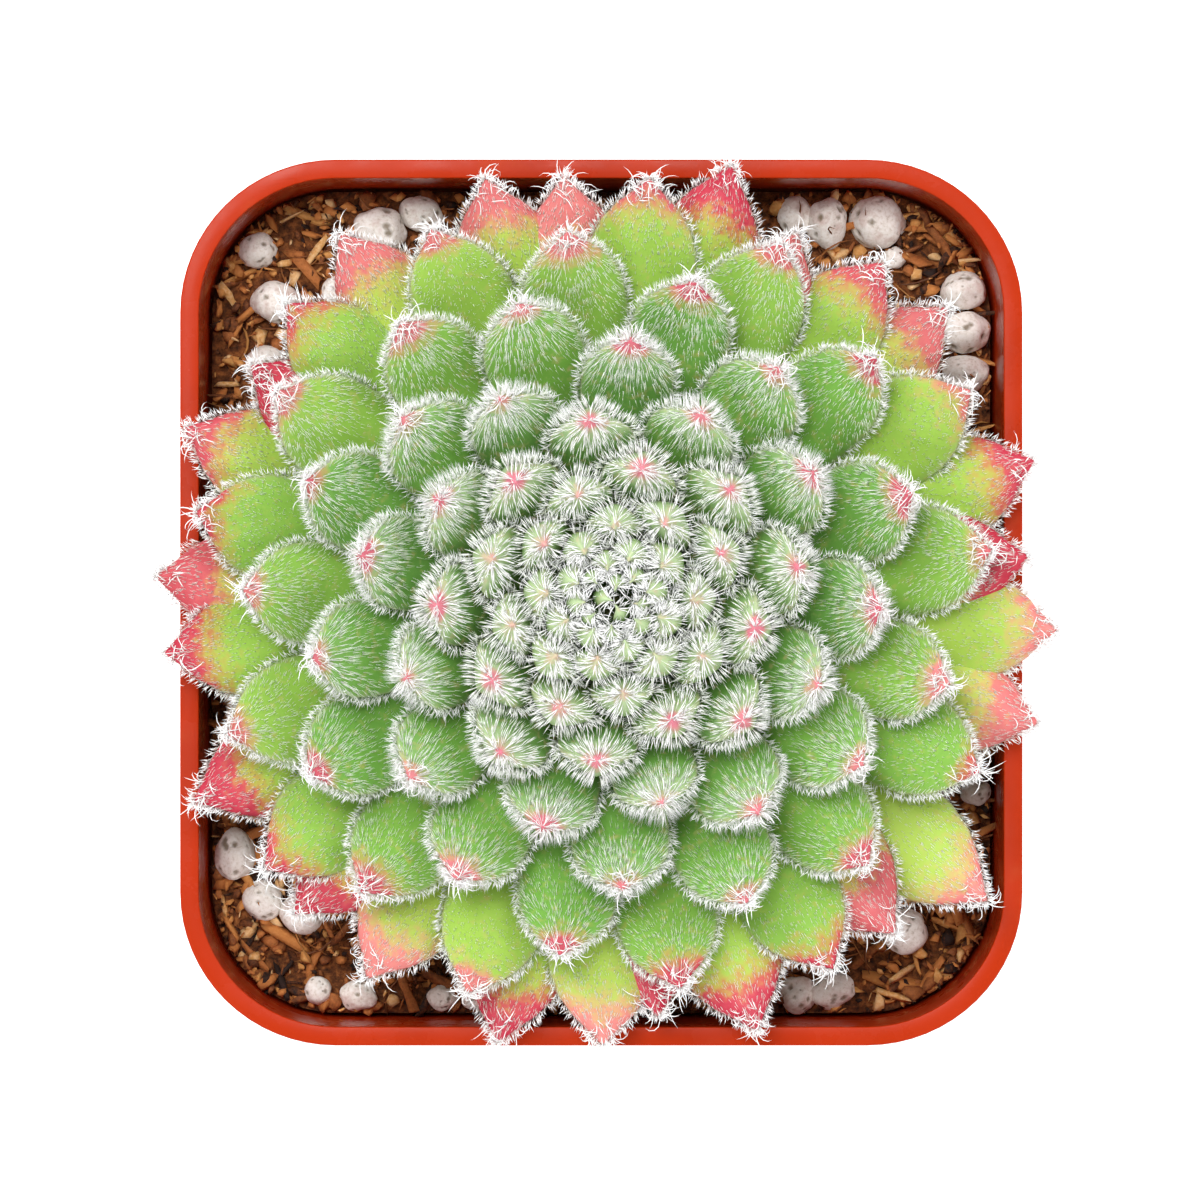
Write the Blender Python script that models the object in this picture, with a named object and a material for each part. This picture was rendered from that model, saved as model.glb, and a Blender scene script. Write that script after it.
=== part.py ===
"""Hens and chicks in a square nursery pot, in metres with +Z up.

The origin is the middle of the pot's flat underside. Three pieces are built: the thin plastic
pot, the potting mix that fills it, and the plant, whose leaves all grow from one short stem.
"""

import math
import random

import bmesh
import bpy
from mathutils import Euler, Matrix, Vector, noise

MM = 0.001

# Pot: a moulded square pot with round corners, a stepped collar at the rim and drain holes.
POT_WIDTH = 67.4 * MM
POT_DEPTH = 70.9 * MM
POT_HEIGHT = 64.0 * MM
POT_CORNER = 12.4 * MM
BASE_WIDTH = 50.0 * MM
BASE_DEPTH = 53.5 * MM
BASE_CORNER = 9.0 * MM
COLLAR_HEIGHT = 12.0 * MM
COLLAR_FOOT = POT_HEIGHT - COLLAR_HEIGHT
COLLAR_STEP = 0.9 * MM
RIM_BAND = 1.5 * MM
RIM_ROUND = 0.35 * MM
WALL = 0.9 * MM
FLOOR = 1.3 * MM
FOOT_CHAMFER = 0.8 * MM
DRAIN_RADIUS = 2.4 * MM
DRAIN_SPREAD = 13.0 * MM
CORNER_STEPS = 7
SIDE_STEPS = 5

# Potting mix: bark and coir, settled a little below the rim, with pumice grains on it.
GAP = 0.3 * MM
SOIL_LEVEL = 53.0 * MM
SOIL_ROUGHNESS = 0.9 * MM
SOIL_LUMP = 5.0 * MM
SOIL_CRUMB = 1.8 * MM
SOIL_RINGS = 9
STEM_HOLE_DEPTH = 15.0 * MM
CHIP_COUNT = 32
CHIP_SIZE = (4.2 * MM, 1.1 * MM, 0.9 * MM)
CHIP_REACH = (28.0 * MM, 42.0 * MM)
CHIP_SPREAD = 22.0
CHIP_LIFT = 0.15 * MM
CHIP_SEED = 7
GRAIN_LUMPS = 0.16
GRAIN_LUMP_PITCH = 2.4
GRAIN_FLATNESS = 0.9
GRAIN_LIFT = 0.17
PULL_STEP = 0.995

# Each grain of pumice that shows: x, y, length and width in millimetres.
PUMICE_GRAINS = (
    (-28.3, 29.0, 3.2, 2.8),
    (-26.5, 24.4, 3.8, 3.4),
    (-27.4, 19.5, 3.0, 2.7),
    (-14.9, 32.2, 3.6, 2.9),
    (-18.0, 30.2, 4.4, 3.6),
    (-21.2, 25.4, 3.0, 2.6),
    (15.8, 31.4, 3.0, 3.2),
    (18.3, 30.8, 3.3, 4.1),
    (22.4, 30.9, 4.5, 4.2),
    (23.8, 28.0, 2.0, 1.8),
    (29.4, 25.3, 3.7, 3.2),
    (29.5, 21.9, 4.1, 3.3),
    (29.4, 18.5, 4.0, 3.2),
    (-30.0, -20.6, 3.3, 4.2),
    (-27.5, -24.2, 3.4, 3.2),
    (-24.2, -25.2, 3.6, 3.4),
    (-21.6, -23.7, 2.6, 2.1),
    (-23.0, -31.5, 2.2, 2.3),
    (-19.8, -32.1, 3.0, 2.4),
    (-13.0, -32.4, 2.5, 2.2),
    (-10.3, -32.8, 2.7, 2.3),
    (24.7, -26.7, 3.6, 3.7),
    (16.0, -31.9, 3.0, 3.1),
    (19.3, -32.5, 3.8, 2.9),
    (30.4, -15.4, 2.4, 2.2),
)

# Stem: a short stout stalk that stands in a plain hole in the mix.
STEM_HOLE_RADIUS = 4.5 * MM
STEM_RADIUS = 3.8 * MM
STEM_FOOT_RADIUS = 2.3 * MM
STEM_NECK_RADIUS = 3.2 * MM
STEM_CROWN_RADIUS = 1.2 * MM
STEM_FOOT = SOIL_LEVEL - STEM_HOLE_DEPTH + GAP
STEM_ROOT_TOP = STEM_FOOT + 4.0 * MM
STEM_WAIST = SOIL_LEVEL + 6.0 * MM
STEM_NECK = SOIL_LEVEL + 14.0 * MM
STEM_SIDES = 16

# Rosette: leaf n, from the heart outwards, stands one golden angle on from leaf n - 1.
GOLDEN_ANGLE = math.radians(137.57)
FIRST_ANGLE = math.radians(162.96)
FIRST_LEAF = 3
LAST_LEAF = 117
FULL_REACH_LEAF = 107
LEAF_SWING = math.radians(4.0)
ROSETTE_CENTRE = Vector((0.2 * MM, -0.24 * MM, 0.0))
HEART_SHIFT = Vector((0.7 * MM, 0.4 * MM, 0.0))
HEART_REACH = 1.8 * MM
FULL_REACH = 35.7 * MM
OLD_LEAF = 108
OLD_LEAF_SHRINK = 0.36 * MM
LONG_LEAVES = {93: 1.05, 98: 1.08}
CROWN_HEIGHT = 25.5 * MM
DOME_DROP = 8.0 * MM
OLD_DROP = 3.0 * MM
OLD_DROP_FROM = 90
LOWEST_BASE = 1.8 * MM
BASE_RISE = 18.5 * MM
BASE_RISE_POWER = 1.1
HEART_ROOT = 0.4 * MM
OUTER_ROOT = 3.4 * MM
LEAF_SEED = 41

# How a leaf leaves its chord at the stem and at the tip: heart leaves fold in, old ones lie out.
OPENING_FROM = 70
YOUNG_DIP = 14.0
OLD_DIP = 5.0
HEART_UPTURN = 52.0
MIDDLE_UPTURN = 38.0
OLD_UPTURN = 12.0
CURVE_PULL = 0.36

# Leaf: a plump blade, widest near its end, with a domed face and a keeled back.
LEAF_WIDTH = 9.5 * MM
WIDTH_GROWTH = 38.0
WIDTH_GROWTH_POWER = 1.3
WIDTH_HEAD_START = 6
THICKNESS_RATIO = 0.42
WIDEST_AT = 0.7
SHOULDER = 2.4
BASE_NARROWING = 0.5
BASE_FULLNESS = 0.72
TIP_FULLNESS = 2.8
TIP_ROUNDNESS = 0.75
UPPER_SHARE = 0.42
BACK_KEEL = 1.2
HEART_LEAVES = 24
LEAF_SIDES = 8
HEART_SIDES = 6
LEAF_STATIONS = (0.0, 0.38, 0.68, 0.86, 0.96)
HEART_STATIONS = (0.0, 0.45, 0.86)

RED_ORANGE = (0.72, 0.085, 0.032)
LOAM = (0.12, 0.055, 0.025)
LEAF_GREEN = (0.24, 0.42, 0.11)


def clear_scene():
    for obj in list(bpy.data.objects):
        bpy.data.objects.remove(obj, do_unlink=True)


def new_collection(name):
    collection = bpy.data.collections.new(name)
    bpy.context.scene.collection.children.link(collection)
    return collection


def new_material(name, colour, roughness):
    material = bpy.data.materials.new(name)
    material.use_nodes = True
    shader = material.node_tree.nodes["Principled BSDF"]
    shader.inputs["Base Color"].default_value = (*colour, 1.0)
    shader.inputs["Roughness"].default_value = roughness
    shader.inputs["Metallic"].default_value = 0.0
    return material


def object_from(bm, name, collection, material=None):
    mesh = bpy.data.meshes.new(name)
    bmesh.ops.recalc_face_normals(bm, faces=bm.faces)
    bm.to_mesh(mesh)
    bm.free()
    obj = bpy.data.objects.new(name, mesh)
    collection.objects.link(obj)
    if material:
        mesh.materials.append(material)
    return obj


def skin(loops):
    """A closed solid through stacked loops of points, with a face across each end."""
    bm = bmesh.new()
    rings = [[bm.verts.new(point) for point in loop] for loop in loops]
    for lower, upper in zip(rings, rings[1:]):
        for k in range(len(lower)):
            after = (k + 1) % len(lower)
            bm.faces.new((lower[k], lower[after], upper[after], upper[k]))
    bm.faces.new(rings[0])
    bm.faces.new(rings[-1])
    return bm


def apply_boolean(obj, operation, other):
    """Cuts or joins obj with an object or with a whole collection, and keeps the result as its mesh."""
    modifier = obj.modifiers.new(operation.title(), "BOOLEAN")
    modifier.operation = operation
    modifier.solver = "EXACT"
    if isinstance(other, bpy.types.Collection):
        modifier.operand_type = "COLLECTION"
        modifier.collection = other
    else:
        modifier.object = other
    bpy.context.view_layer.update()
    graph = bpy.context.evaluated_depsgraph_get()
    joined = bpy.data.meshes.new_from_object(obj.evaluated_get(graph))
    obj.modifiers.clear()
    obj.data = joined


def keep_outer_skin(obj):
    """Fills the hollows that joining sealed and drops loose scraps: only the largest shell stays."""
    bm = bmesh.new()
    bm.from_mesh(obj.data)
    unseen = set(bm.verts)
    shells = []
    while unseen:
        shell = {unseen.pop()}
        front = list(shell)
        while front:
            near = {edge.other_vert(vert) for vert in front for edge in vert.link_edges} - shell
            shell |= near
            front = list(near)
        unseen -= shell
        shells.append(shell)
    largest = max(shells, key=len)
    scraps = [vert for vert in bm.verts if vert not in largest]
    bmesh.ops.delete(bm, geom=scraps, context="VERTS")
    bm.to_mesh(obj.data)
    bm.free()


def remove_collection(collection):
    for obj in list(collection.objects):
        bpy.data.objects.remove(obj, do_unlink=True)
    bpy.data.collections.remove(collection)


def mix(a, b, share):
    return a + (b - a) * share


def smooth(share):
    share = min(max(share, 0.0), 1.0)
    return share * share * (3.0 - 2.0 * share)


# Pot

def rounded_square(width, depth, corner, height):
    """Points round a rectangle with round corners, with as many on each side and corner at any size."""
    half_x = width / 2 - corner
    half_y = depth / 2 - corner
    points = []
    for quarter, (sx, sy) in enumerate(((1, 1), (-1, 1), (-1, -1), (1, -1))):
        for step in range(CORNER_STEPS + 1):
            angle = (quarter + step / CORNER_STEPS) * math.pi / 2
            points.append(
                Vector(
                    (
                        sx * half_x + corner * math.cos(angle),
                        sy * half_y + corner * math.sin(angle),
                        height,
                    )
                )
            )
        next_sx, next_sy = ((-1, 1), (-1, -1), (1, -1), (1, 1))[quarter]
        end_angle = (quarter + 1) * math.pi / 2
        edge = Vector((corner * math.cos(end_angle), corner * math.sin(end_angle), height))
        start = edge + Vector((sx * half_x, sy * half_y, 0))
        stop = edge + Vector((next_sx * half_x, next_sy * half_y, 0))
        for step in range(1, SIDE_STEPS):
            points.append(start.lerp(stop, step / SIDE_STEPS))
    return points


def pot_outline(height, inset):
    """The pot's body at a height, moved in by inset: it tapers up to the collar, then stands upright."""
    share = min(height / COLLAR_FOOT, 1.0)
    width = mix(BASE_WIDTH, POT_WIDTH - 2 * COLLAR_STEP, share) - 2 * inset
    depth = mix(BASE_DEPTH, POT_DEPTH - 2 * COLLAR_STEP, share) - 2 * inset
    corner = mix(BASE_CORNER, POT_CORNER - COLLAR_STEP, share) - inset
    return rounded_square(width, depth, corner, height)


def make_pot(collection, material):
    inside = RIM_BAND - COLLAR_STEP
    loops = [
        pot_outline(0.0, FOOT_CHAMFER),
        pot_outline(FOOT_CHAMFER, 0.0),
        pot_outline(COLLAR_FOOT, 0.0),
        pot_outline(COLLAR_FOOT, -COLLAR_STEP),
        pot_outline(POT_HEIGHT - RIM_ROUND, -COLLAR_STEP),
        pot_outline(POT_HEIGHT, RIM_ROUND - COLLAR_STEP),
        pot_outline(POT_HEIGHT, inside - RIM_ROUND),
        pot_outline(POT_HEIGHT - RIM_ROUND, inside),
        pot_outline(COLLAR_FOOT, WALL),
        pot_outline(FLOOR + FOOT_CHAMFER, WALL),
        pot_outline(FLOOR, WALL + FOOT_CHAMFER),
    ]
    pot = object_from(skin(loops), "pot", collection, material)
    cutters = new_collection("drain_cutters")
    for sx in (-1, 1):
        for sy in (-1, 1):
            bm = bmesh.new()
            bmesh.ops.create_cone(
                bm,
                cap_ends=True,
                segments=20,
                radius1=DRAIN_RADIUS,
                radius2=DRAIN_RADIUS,
                depth=4 * FLOOR,
                matrix=Matrix.Translation((sx * DRAIN_SPREAD, sy * DRAIN_SPREAD, 0)),
            )
            object_from(bm, "drain_cutter", cutters)
    apply_boolean(pot, "DIFFERENCE", cutters)
    remove_collection(cutters)
    pot.data.set_sharp_from_angle(angle=math.radians(35))
    return pot


# Potting mix

def soil_height(x, y):
    """The mix's rough top: coarse lumps and finer crumbs, a little lower along the wall."""
    lumps = noise.noise(Vector((x, y, 0.0)) / SOIL_LUMP)
    crumbs = noise.noise(Vector((x, y, 0.0)) / SOIL_CRUMB)
    return SOIL_LEVEL + SOIL_ROUGHNESS * mix(lumps, crumbs, 0.35)


def soil_loops():
    foot = FLOOR + GAP
    loops = [
        pot_outline(foot, WALL + FOOT_CHAMFER + GAP),
        pot_outline(foot + FOOT_CHAMFER, WALL + GAP),
    ]
    wall = pot_outline(SOIL_LEVEL - SOIL_ROUGHNESS, WALL + GAP)
    loops.append(wall)
    for ring in range(1, SOIL_RINGS + 1):
        share = ring / SOIL_RINGS
        loop = []
        for point in wall:
            flat = Vector((point.x, point.y, 0.0))
            centre = ROSETTE_CENTRE + (flat - ROSETTE_CENTRE).normalized() * STEM_HOLE_RADIUS
            spot = flat.lerp(centre, share)
            loop.append(Vector((spot.x, spot.y, soil_height(spot.x, spot.y))))
        loops.append(loop)
    hole_foot = SOIL_LEVEL - STEM_HOLE_DEPTH
    loops.append([Vector((point.x, point.y, hole_foot)) for point in loops[-1]])
    return loops


def pull_inside(x, y, margin):
    """The spot, or the nearest one towards the middle that keeps margin from the pot's wall."""
    half_x = POT_WIDTH / 2 - COLLAR_STEP - WALL - GAP - margin
    half_y = POT_DEPTH / 2 - COLLAR_STEP - WALL - GAP - margin
    corner = POT_CORNER - COLLAR_STEP - WALL - GAP - margin
    while True:
        over_x = max(abs(x) - half_x + corner, 0.0)
        over_y = max(abs(y) - half_y + corner, 0.0)
        if math.hypot(over_x, over_y) <= corner:
            return x, y
        x, y = x * PULL_STEP, y * PULL_STEP


def add_pumice(collection):
    """Each grain is a lumpy ball, sunk a third of its width into the mix."""
    for number, (x, y, length, width) in enumerate(PUMICE_GRAINS):
        rng = random.Random(number)
        bm = bmesh.new()
        bmesh.ops.create_icosphere(bm, subdivisions=2, radius=0.5)
        for vert in bm.verts:
            place = vert.co * GRAIN_LUMP_PITCH + Vector((number * 5.0, 0, 0))
            vert.co *= 1 + GRAIN_LUMPS * noise.noise(place)
            vert.co.x *= length * MM
            vert.co.y *= width * MM
            vert.co.z *= (length + width) / 2 * MM * GRAIN_FLATNESS
        x, y = pull_inside(x * MM, y * MM, 0.55 * max(length, width) * MM)
        lift = soil_height(x, y) + width * MM * GRAIN_LIFT
        turn = Matrix.Rotation(rng.uniform(-0.3, 0.3), 4, "Z")
        bmesh.ops.transform(bm, matrix=Matrix.Translation((x, y, lift)) @ turn, verts=bm.verts)
        object_from(bm, f"grain_{number}", collection)


def add_bark_chips(collection):
    """Slivers of bark lie tilted on the mix, in the four corners that the leaves leave open."""
    rng = random.Random(CHIP_SEED)
    for number in range(CHIP_COUNT):
        angle = math.radians(45 + 90 * (number % 4) + rng.uniform(-CHIP_SPREAD, CHIP_SPREAD))
        reach = rng.uniform(*CHIP_REACH)
        x, y = pull_inside(reach * math.cos(angle), reach * math.sin(angle), 0.55 * CHIP_SIZE[0])
        bm = bmesh.new()
        bmesh.ops.create_cube(bm, size=1.0)
        scale = [side * rng.uniform(0.6, 1.0) for side in CHIP_SIZE]
        bmesh.ops.scale(bm, vec=scale, verts=bm.verts)
        turn = Euler((rng.uniform(-0.5, 0.5), rng.uniform(-0.3, 0.3), rng.uniform(0, math.pi)))
        place = Matrix.Translation((x, y, soil_height(x, y) + CHIP_LIFT)) @ turn.to_matrix().to_4x4()
        bmesh.ops.transform(bm, matrix=place, verts=bm.verts)
        object_from(bm, f"chip_{number}", collection)


def make_potting_mix(collection, material):
    soil = object_from(skin(soil_loops()), "potting_mix", collection, material)
    pieces = new_collection("mix_pieces")
    add_pumice(pieces)
    add_bark_chips(pieces)
    apply_boolean(soil, "UNION", pieces)
    keep_outer_skin(soil)
    remove_collection(pieces)
    return soil


# Plant

def leaf_reach(n):
    """How far leaf n's tip stands from the rosette's axis."""
    reach = mix(HEART_REACH, FULL_REACH, smooth(n / FULL_REACH_LEAF))
    reach -= max(0, n - OLD_LEAF) * OLD_LEAF_SHRINK
    return reach * LONG_LEAVES.get(n, 1.0)


def leaf_width(n):
    """Leaf n's greatest width: it grows fast out of the heart, then levels off."""
    grown = ((n + WIDTH_HEAD_START) / WIDTH_GROWTH) ** WIDTH_GROWTH_POWER
    return LEAF_WIDTH * (1.0 - math.exp(-grown))


def leaf_frame(n):
    """Leaf n's curve, from stem to tip, and its width, each with the small chances of growth."""
    rng = random.Random(LEAF_SEED + n)
    age = n / LAST_LEAF
    direction = FIRST_ANGLE + GOLDEN_ANGLE * n
    direction += LEAF_SWING * math.sin(direction) * age * age
    direction += math.radians(rng.uniform(-1.0, 1.0))
    reach = leaf_reach(n) * rng.uniform(0.985, 1.015)
    aged_drop = OLD_DROP * max(0.0, (n - OLD_DROP_FROM) / (LAST_LEAF - OLD_DROP_FROM))
    tip_height = CROWN_HEIGHT - DOME_DROP * (leaf_reach(n) / FULL_REACH) ** 2 - aged_drop
    tip_height += rng.uniform(-0.4, 0.4) * MM * age
    base_height = LOWEST_BASE + BASE_RISE * (1 - age) ** BASE_RISE_POWER
    base_reach = mix(HEART_ROOT, OUTER_ROOT, min(1.0, age * 2))
    chord = math.atan2(tip_height - base_height, reach - base_reach)
    length = math.hypot(tip_height - base_height, reach - base_reach)
    opened = smooth((n - OPENING_FROM) / (LAST_LEAF - OPENING_FROM))
    young_upturn = mix(HEART_UPTURN, MIDDLE_UPTURN, smooth(n / OPENING_FROM))
    start = chord - math.radians(mix(YOUNG_DIP, OLD_DIP, opened))
    end = chord + math.radians(mix(young_upturn, OLD_UPTURN, opened))
    first = Vector((base_reach, base_height))
    last = Vector((reach, tip_height))
    pull = CURVE_PULL * length
    bezier = (
        first,
        first + pull * Vector((math.cos(start), math.sin(start))),
        last - pull * Vector((math.cos(end), math.sin(end))),
        last,
    )
    width = leaf_width(n) * rng.uniform(0.97, 1.03)
    roll = math.radians(rng.uniform(-4.0, 4.0))
    centre = ROSETTE_CENTRE + HEART_SHIFT * (1 - age) + Vector((0, 0, SOIL_LEVEL))
    return bezier, width, direction, roll, centre


def on_bezier(bezier, u):
    """Point and unit direction at u along the curve."""
    a, b, c, d = bezier
    v = 1 - u
    point = a * v**3 + b * 3 * v * v * u + c * 3 * v * u * u + d * u**3
    slope = (b - a) * v * v + (c - b) * 2 * v * u + (d - c) * u * u
    return point, slope.normalized()


def leaf_outline(u):
    """Half-width at u as a share of the widest: narrow at the stem, then full shoulders and a short point."""
    if u < WIDEST_AT:
        return mix(BASE_NARROWING, 1.0, smooth(u / WIDEST_AT))
    return 1.0 - ((u - WIDEST_AT) / (1 - WIDEST_AT)) ** SHOULDER


def leaf_fullness(u):
    """Thickness at u as a share of the thickest: it stays plump almost to the point."""
    if u < WIDEST_AT:
        return mix(BASE_FULLNESS, 1.0, smooth(u / WIDEST_AT))
    return (1.0 - ((u - WIDEST_AT) / (1 - WIDEST_AT)) ** TIP_FULLNESS) ** TIP_ROUNDNESS


def leaf_section(u, width, sides):
    """Points of the cross-section at u: a gently domed upper face and a rounder, keeled back."""
    half = width / 2 * leaf_outline(u)
    thickness = width * THICKNESS_RATIO * leaf_fullness(u)
    points = []
    for k in range(sides):
        angle = 2 * math.pi * k / sides
        cos, sin = math.cos(angle), math.sin(angle)
        above = sin > 0
        height = thickness * (UPPER_SHARE if above else 1 - UPPER_SHARE)
        bend = 1.0 if above else BACK_KEEL
        across = math.copysign(abs(cos) ** bend, cos)
        up = math.copysign(abs(sin) ** bend, sin)
        points.append((half * across, height * up))
    return points


def make_leaf(n, collection):
    bezier, width, direction, roll, centre = leaf_frame(n)
    outward = Vector((math.cos(direction), math.sin(direction), 0))
    across = Vector((-math.sin(direction), math.cos(direction), 0))
    sides, stations = LEAF_SIDES, LEAF_STATIONS
    if n < HEART_LEAVES:
        sides, stations = HEART_SIDES, HEART_STATIONS
    bm = bmesh.new()
    rings = []
    for u in stations:
        spot, slope = on_bezier(bezier, u)
        along = outward * slope.x + Vector((0, 0, slope.y))
        turn = Matrix.Rotation(roll * u, 3, along)
        side = turn @ across
        up = along.cross(side)
        middle = centre + outward * spot.x + Vector((0, 0, spot.y))
        ring = []
        for x, y in leaf_section(u, width, sides):
            ring.append(bm.verts.new(middle + side * x + up * y))
        rings.append(ring)
    end = bezier[3]
    tip = bm.verts.new(centre + outward * end.x + Vector((0, 0, end.y)))
    for lower, upper in zip(rings, rings[1:]):
        for k in range(sides):
            after = (k + 1) % sides
            bm.faces.new((lower[k], lower[after], upper[after], upper[k]))
    bm.faces.new(rings[0])
    for k in range(sides):
        bm.faces.new((rings[-1][k], rings[-1][(k + 1) % sides], tip))
    bmesh.ops.triangulate(bm, faces=bm.faces)
    return object_from(bm, f"leaf_{n}", collection)


def make_stem(collection, material):
    """A stalk in the mix that tapers up through the rosette to its growing point."""
    crown = SOIL_LEVEL + LOWEST_BASE + BASE_RISE + 1.0 * MM
    levels = (
        (STEM_FOOT, STEM_FOOT_RADIUS, 0.0),
        (STEM_ROOT_TOP, STEM_RADIUS, 0.0),
        (STEM_WAIST, STEM_RADIUS, 0.1),
        (STEM_NECK, STEM_NECK_RADIUS, 0.6),
        (crown, STEM_CROWN_RADIUS, 1.0),
    )
    loops = []
    for height, radius, lean in levels:
        centre = ROSETTE_CENTRE + HEART_SHIFT * lean
        loop = []
        for k in range(STEM_SIDES):
            angle = 2 * math.pi * k / STEM_SIDES
            loop.append(centre + Vector((radius * math.cos(angle), radius * math.sin(angle), height)))
        loops.append(loop)
    return object_from(skin(loops), "rosette", collection, material)


def make_rosette(collection, material):
    rosette = make_stem(collection, material)
    leaves = new_collection("leaf_solids")
    for n in range(FIRST_LEAF, LAST_LEAF + 1):
        make_leaf(n, leaves)
    apply_boolean(rosette, "UNION", leaves)
    keep_outer_skin(rosette)
    remove_collection(leaves)
    rosette.data.set_sharp_from_angle(angle=math.radians(50))
    return rosette


def main():
    clear_scene()
    plant = new_collection("hens_and_chicks")
    make_pot(plant, new_material("moulded_plastic", RED_ORANGE, 0.42))
    make_potting_mix(plant, new_material("bark_mix", LOAM, 0.95))
    make_rosette(plant, new_material("leaf_flesh", LEAF_GREEN, 0.6))


main()
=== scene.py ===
"""Hens and chicks in a square pot: a hairy rosette on bark and pumice, in orange-red plastic."""

import math
import random

import bpy
import numpy as np
from mathutils import Euler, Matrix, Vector, noise
from mathutils.bvhtree import BVHTree


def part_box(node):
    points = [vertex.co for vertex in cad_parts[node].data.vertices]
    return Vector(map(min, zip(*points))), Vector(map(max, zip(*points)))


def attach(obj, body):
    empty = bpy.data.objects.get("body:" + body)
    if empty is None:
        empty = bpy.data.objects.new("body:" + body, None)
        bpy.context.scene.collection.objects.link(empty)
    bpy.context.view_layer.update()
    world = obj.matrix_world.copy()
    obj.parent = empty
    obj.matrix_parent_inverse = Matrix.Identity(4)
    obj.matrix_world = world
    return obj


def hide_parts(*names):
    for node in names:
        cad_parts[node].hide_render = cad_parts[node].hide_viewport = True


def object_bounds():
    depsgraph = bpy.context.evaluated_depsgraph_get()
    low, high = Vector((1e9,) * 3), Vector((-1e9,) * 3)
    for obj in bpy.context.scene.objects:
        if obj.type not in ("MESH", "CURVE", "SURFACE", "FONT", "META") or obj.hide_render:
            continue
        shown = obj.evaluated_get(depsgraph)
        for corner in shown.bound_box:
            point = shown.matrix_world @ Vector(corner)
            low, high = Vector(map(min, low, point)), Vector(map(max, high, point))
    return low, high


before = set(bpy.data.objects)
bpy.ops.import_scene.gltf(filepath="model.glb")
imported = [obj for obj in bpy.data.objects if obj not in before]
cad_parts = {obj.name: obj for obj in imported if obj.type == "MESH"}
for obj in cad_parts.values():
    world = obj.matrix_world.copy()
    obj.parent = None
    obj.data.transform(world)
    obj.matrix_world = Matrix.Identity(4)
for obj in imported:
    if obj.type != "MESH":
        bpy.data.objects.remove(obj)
cad_low, cad_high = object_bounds()


# Camera
# The plant was photographed from straight above. The pot's rim is the plane that the picture's
# 96 mm width is measured in, and a long lens keeps the taller heart from looking too big.
MM = 0.001
CAMERA_DISTANCE = 0.7
CAMERA_X = -0.1 * MM
CAMERA_Y = 0.2 * MM
PICTURE_WIDTH = 96 * MM
SENSOR_WIDTH = 36.0
rim_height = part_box("pot")[1][2]
bpy.ops.object.camera_add(location=(CAMERA_X, CAMERA_Y, rim_height + CAMERA_DISTANCE))
camera = bpy.context.object
camera.rotation_euler = (0.0, 0.0, 0.0)
camera.data.sensor_width = SENSOR_WIDTH
camera.data.lens = SENSOR_WIDTH * CAMERA_DISTANCE / PICTURE_WIDTH
camera.data.dof.use_dof = False
bpy.context.scene.camera = camera

# The picture's bright ground and strong colours are kept as they are, with no film curve.
bpy.context.scene.view_settings.view_transform = "Standard"


# Pot
# A nursery pot, injection-moulded in one shot from orange-red polypropylene. It has thin walls,
# a body that tapers to the foot, a collar that stiffens the rim, and four drain holes.
POT_WIDTH = 67.4 * MM
POT_DEPTH = 70.9 * MM
BASE_WIDTH = 50.0 * MM
BASE_DEPTH = 53.5 * MM
BASE_CORNER = 9.25 * MM
CORNER_SEGMENTS = 16
COLLAR_FOOT = rim_height - 12.0 * MM
COLLAR_STEP = 0.9 * MM
RIM_BAND = 1.5 * MM
WALL = 0.9 * MM
FLOOR = 1.3 * MM
FOOT_CHAMFER = 0.8 * MM
EDGE_ROUND = 0.42 * MM
EDGE_STEPS = 4
DRAIN_RADIUS = 2.4 * MM
DRAIN_SPREAD = 13.0 * MM
DRAIN_SIDES = 40


def linear(code):
    """An sRGB hex colour as the linear colour that a shader takes."""
    channels = [int(code[k : k + 2], 16) / 255 for k in (1, 3, 5)]
    return (*[c / 12.92 if c <= 0.04045 else ((c + 0.055) / 1.055) ** 2.4 for c in channels], 1.0)


def add_node(material, kind, settings=None, values=None, links=None, stops=None):
    """Adds a node with its own settings, its sockets' values, what feeds it and its ramp's colours."""
    node = material.node_tree.nodes.new(kind)
    for name, value in (settings or {}).items():
        setattr(node, name, value)
    for socket, value in (values or {}).items():
        node.inputs[socket].default_value = value
    for socket, source in (links or {}).items():
        material.node_tree.links.new(source, node.inputs[socket])
    for number, (place, code) in enumerate(stops or ()):
        elements = node.color_ramp.elements
        stop = elements[number] if number < 2 else elements.new(place)
        stop.position = place
        stop.color = linear(code)
    return node


def new_material(name, roughness, ior):
    """A material with an empty Principled shader, and that shader."""
    material = bpy.data.materials.new(name)
    material.use_nodes = True
    shader = material.node_tree.nodes["Principled BSDF"]
    shader.inputs["Roughness"].default_value = roughness
    shader.inputs["IOR"].default_value = ior
    return material, shader


def finish_piece(piece, material, slot, *nodes):
    """Gives a piece its material, hides the parts that it stands for and hangs it on the root."""
    piece.data.materials.clear()
    piece.data.materials.append(material)
    if nodes:
        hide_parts(*nodes)
    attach(piece, "root")


def draw_to(height, width, depth):
    """Extrudes the selected face to a height and stretches it to a width and depth."""
    low, high = selected_box()
    bpy.ops.mesh.extrude_region_move(TRANSFORM_OT_translate={"value": (0, 0, height - low.z)})
    stretch = (width / (high.x - low.x), depth / (high.y - low.y), 1)
    bpy.ops.transform.resize(value=stretch, center_override=(0, 0, height))


def selected_box():
    """Lowest and highest corner of what is selected in edit mode."""
    piece = bpy.context.object
    piece.update_from_editmode()
    spots = [vert.co for vert in piece.data.vertices if vert.select]
    low = Vector([min(spot[k] for spot in spots) for k in range(3)])
    high = Vector([max(spot[k] for spot in spots) for k in range(3)])
    return low, high


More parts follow.
